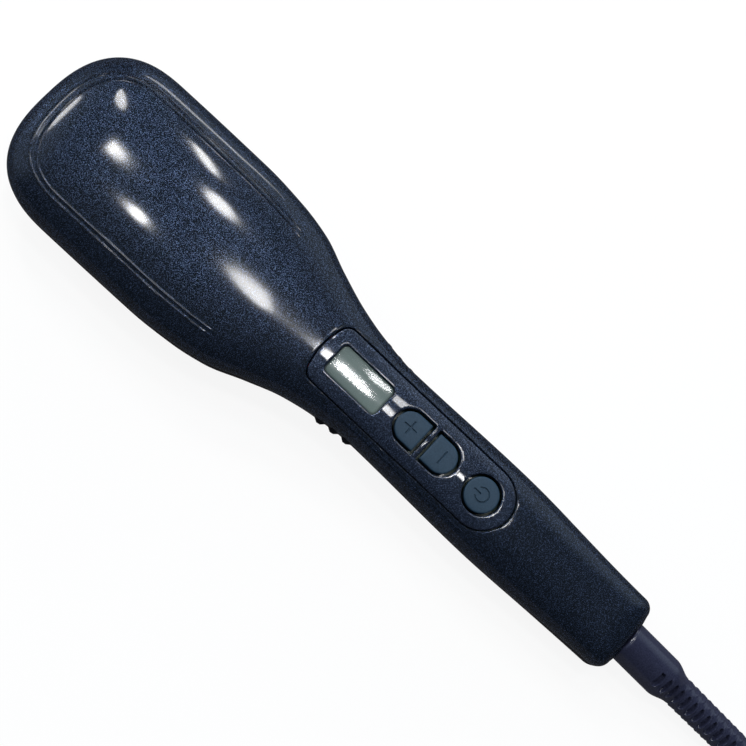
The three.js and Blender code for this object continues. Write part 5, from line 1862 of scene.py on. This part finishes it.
# Each spot stands where the back mirrors it into one of the highlights, the tube over the neck
# and the window, and the long edge light low beside the far edge
LAMPS = (
    Lamp("spot_tip", (-0.7, 0.468, 0.87), (0.1, 0.27), 2.6),
    Lamp("spot_left", (-0.504, 0.193, 1.059), (0.045, 0.045), 0.5),
    Lamp("spot_low", (-0.387, -0.008, 1.106), (0.085, 0.05), 1.1),
    Lamp("spot_right", (-0.361, 0.625, 0.923), (0.05, 0.16), 1.3),
    Lamp("spot_middle", (-0.262, 0.392, 1.058), (0.09, 0.1), 1.4),
    Lamp("spot_neck", (-0.115, 0.15, 1.126), (0.08, 0.1), 1.1),
    Lamp("spot_front", (-1.1, 0.11, 0.56), (0.3, 0.1), 2.5),
    Lamp("spot_window", (0.116, 0.42, 1.03), (0.08, 0.25), 1.2),
    Lamp("spot_end", (0.215, 0.187, 1.1), (0.04, 0.04), 0.25),
    Lamp("spot_panel", (0.004, 0.16, 1.124), (0.04, 0.09), 0.65),
    Lamp("edge_light", (-0.45, 1.05, 0.42), (0.6, 0.07), 1.8),
    Lamp("tube", (0.065, 0.155, 1.12), (0.12, 0.11), 1.2),
)


@dataclass
class Studio:
    """Camera, floor, soft lamps and a plain world with zones beside, before and above."""

    camera_at: Place = (-0.00913, -0.08746, 0.50983)
    camera_turn: Place = (0.15696, -0.11413, 0.74233)
    focal: float = 66.595
    floor_half: float = 6.0
    floor_level: float = -0.0002
    floor_paint: float = 0.85
    floor_white: float = 0.9
    floor_mirrored: float = 0.25
    horizon: tuple[float, float] = (0.02, 0.12)
    horizon_mirrored: float = 0.3
    zones: tuple[Zone, ...] = (
        Zone((0.05, 0.98, 0.18), (0.65, 0.97), 1.5),
        Zone((-0.96, -0.08, 0.28), (0.75, 0.97), 0.9),
        Zone((-0.4, 0.3, 0.87), (0.5, 0.95), 0.34),
    )
    room_tint: tuple[float, float, float, float] = (0.72, 0.86, 1.0, 1.0)
    dim: float = 0.05

    def camera(self) -> None:
        """Places the camera at the photograph's angle."""
        data = bpy.data.cameras.new("camera")
        data.lens, data.sensor_width = self.focal, 36.0
        data.clip_start, data.clip_end = 0.01, 20
        camera = placed("camera", data)
        camera.location, camera.rotation_euler = self.camera_at, self.camera_turn
        bpy.context.scene.camera = camera

    def seen(self, tree: bpy.types.NodeTree, *names: str) -> bpy.types.NodeSocket:
        """Highest of the named Light Path outputs.

        Args:
            tree: the node tree.
            names: the outputs.

        Returns:
            The socket that carries it.
        """
        path = add(tree, "ShaderNodeLightPath")
        socket = path.outputs[names[0]]
        for name in names[1:]:
            links = {0: socket, 1: path.outputs[name]}
            socket = add(tree, "ShaderNodeMath", links, operation="MAXIMUM").outputs[0]
        return socket

    def floor(self) -> None:
        """Pale floor that shows as white, keeps a soft shadow and is open from below.

        Mirrored and refracted rays see it as an even grey, floor_mirrored of the white.
        """
        mesh = bpy.data.meshes.new("floor")
        half, signs = self.floor_half, ((-1, -1), (1, -1), (1, 1), (-1, 1))
        corners = [(half * x, half * y, self.floor_level) for x, y in signs]
        mesh.from_pydata(corners, [], [(0, 1, 2, 3)])
        floor = placed("floor", mesh)
        material = bpy.data.materials.new("painted_studio_floor")
        material.use_nodes = True
        tree = material.node_tree
        tree.nodes.clear()
        paint = (self.floor_paint, self.floor_paint, self.floor_paint, 1.0)
        matte = add(tree, "ShaderNodeBsdfDiffuse", Color=paint).outputs[0]
        camera = self.seen(tree, "Is Camera Ray")
        level = add(tree, "ShaderNodeMapRange", {"Value": camera}, To_Min=self.floor_mirrored)
        links = {"Strength": level.outputs[0]}
        glow = add(tree, "ShaderNodeEmission", links, Color=WHITE).outputs[0]
        white = add(tree, "ShaderNodeMapRange", {"Value": camera}, To_Max=self.floor_white)
        mirrored = self.seen(tree, "Is Glossy Ray", "Is Transmission Ray")
        share = add(tree, "ShaderNodeMath", {0: white.outputs[0], 1: mirrored}, operation="MAXIMUM")
        mix = add(tree, "ShaderNodeMixShader", {0: share.outputs[0], 1: matte, 2: glow})
        open_side = add(tree, "ShaderNodeBsdfTransparent").outputs[0]
        behind = add(tree, "ShaderNodeNewGeometry").outputs["Backfacing"]
        one_sided = add(tree, "ShaderNodeMixShader", {0: behind, 1: mix.outputs[0], 2: open_side})
        add(tree, "ShaderNodeOutputMaterial", {"Surface": one_sided.outputs[0]})
        mesh.materials.append(material)

    def world(self) -> None:
        """Dim room with soft bright zones, and white where the eye looks past it.

        Mirrored and refracted rays see some of that white near the horizon.
        """
        world = bpy.data.worlds.new("studio")
        bpy.context.scene.world = world
        world.use_nodes = True
        tree = world.node_tree
        tree.nodes.clear()
        place = add(tree, "ShaderNodeTexCoord").outputs["Generated"]
        first, *others = [zone.build(tree, place) for zone in self.zones]
        for zone in others:
            first = add(tree, "ShaderNodeMath", {0: first, 1: zone}, operation="ADD").outputs[0]
        soft = add(tree, "ShaderNodeMath", {0: first}, operation="ADD")
        soft.inputs[1].default_value = self.dim
        dim = add(tree, "ShaderNodeBackground", {"Strength": soft.outputs[0]},
                  Color=self.room_tint).outputs[0]
        white = add(tree, "ShaderNodeBackground", Color=WHITE, Strength=1.0).outputs[0]
        parts = add(tree, "ShaderNodeSeparateXYZ", {0: place}).outputs
        height = add(tree, "ShaderNodeMath", {0: parts["Z"]}, operation="ABSOLUTE").outputs[0]
        low = add(tree, "ShaderNodeMapRange", {"Value": height}, interpolation_type="SMOOTHSTEP",
                  From_Min=self.horizon[0], From_Max=self.horizon[1],
                  To_Min=self.horizon_mirrored, To_Max=0.0).outputs[0]
        mirrored = self.seen(tree, "Is Glossy Ray", "Is Transmission Ray")
        near = add(tree, "ShaderNodeMath", {0: mirrored, 1: low}, operation="MULTIPLY").outputs[0]
        camera = self.seen(tree, "Is Camera Ray")
        share = add(tree, "ShaderNodeMath", {0: near, 1: camera}, operation="MAXIMUM").outputs[0]
        mix = add(tree, "ShaderNodeMixShader", {0: share, 1: dim, 2: white})
        add(tree, "ShaderNodeOutputWorld", {"Surface": mix.outputs[0]})

    def build(self) -> None:
        """Sets up everything round the object."""
        self.camera()
        self.floor()
        self.world()
        for lamp in LAMPS:
            lamp.build()
        bpy.context.scene.view_settings.view_transform = "Standard"


def main() -> None:
    """Loads the frame, builds the camera and cord first and then every sub-assembly."""
    logging.basicConfig(level=logging.INFO, format="%(message)s")
    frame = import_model()
    Studio().build()
    Cord().build(Plug().build())
    Shells().build()
    Controls().build()
    Swivel().build()
    Teeth().build()
    dress_nodes(frame["nodes"])


if __name__ == "__main__":
    main()
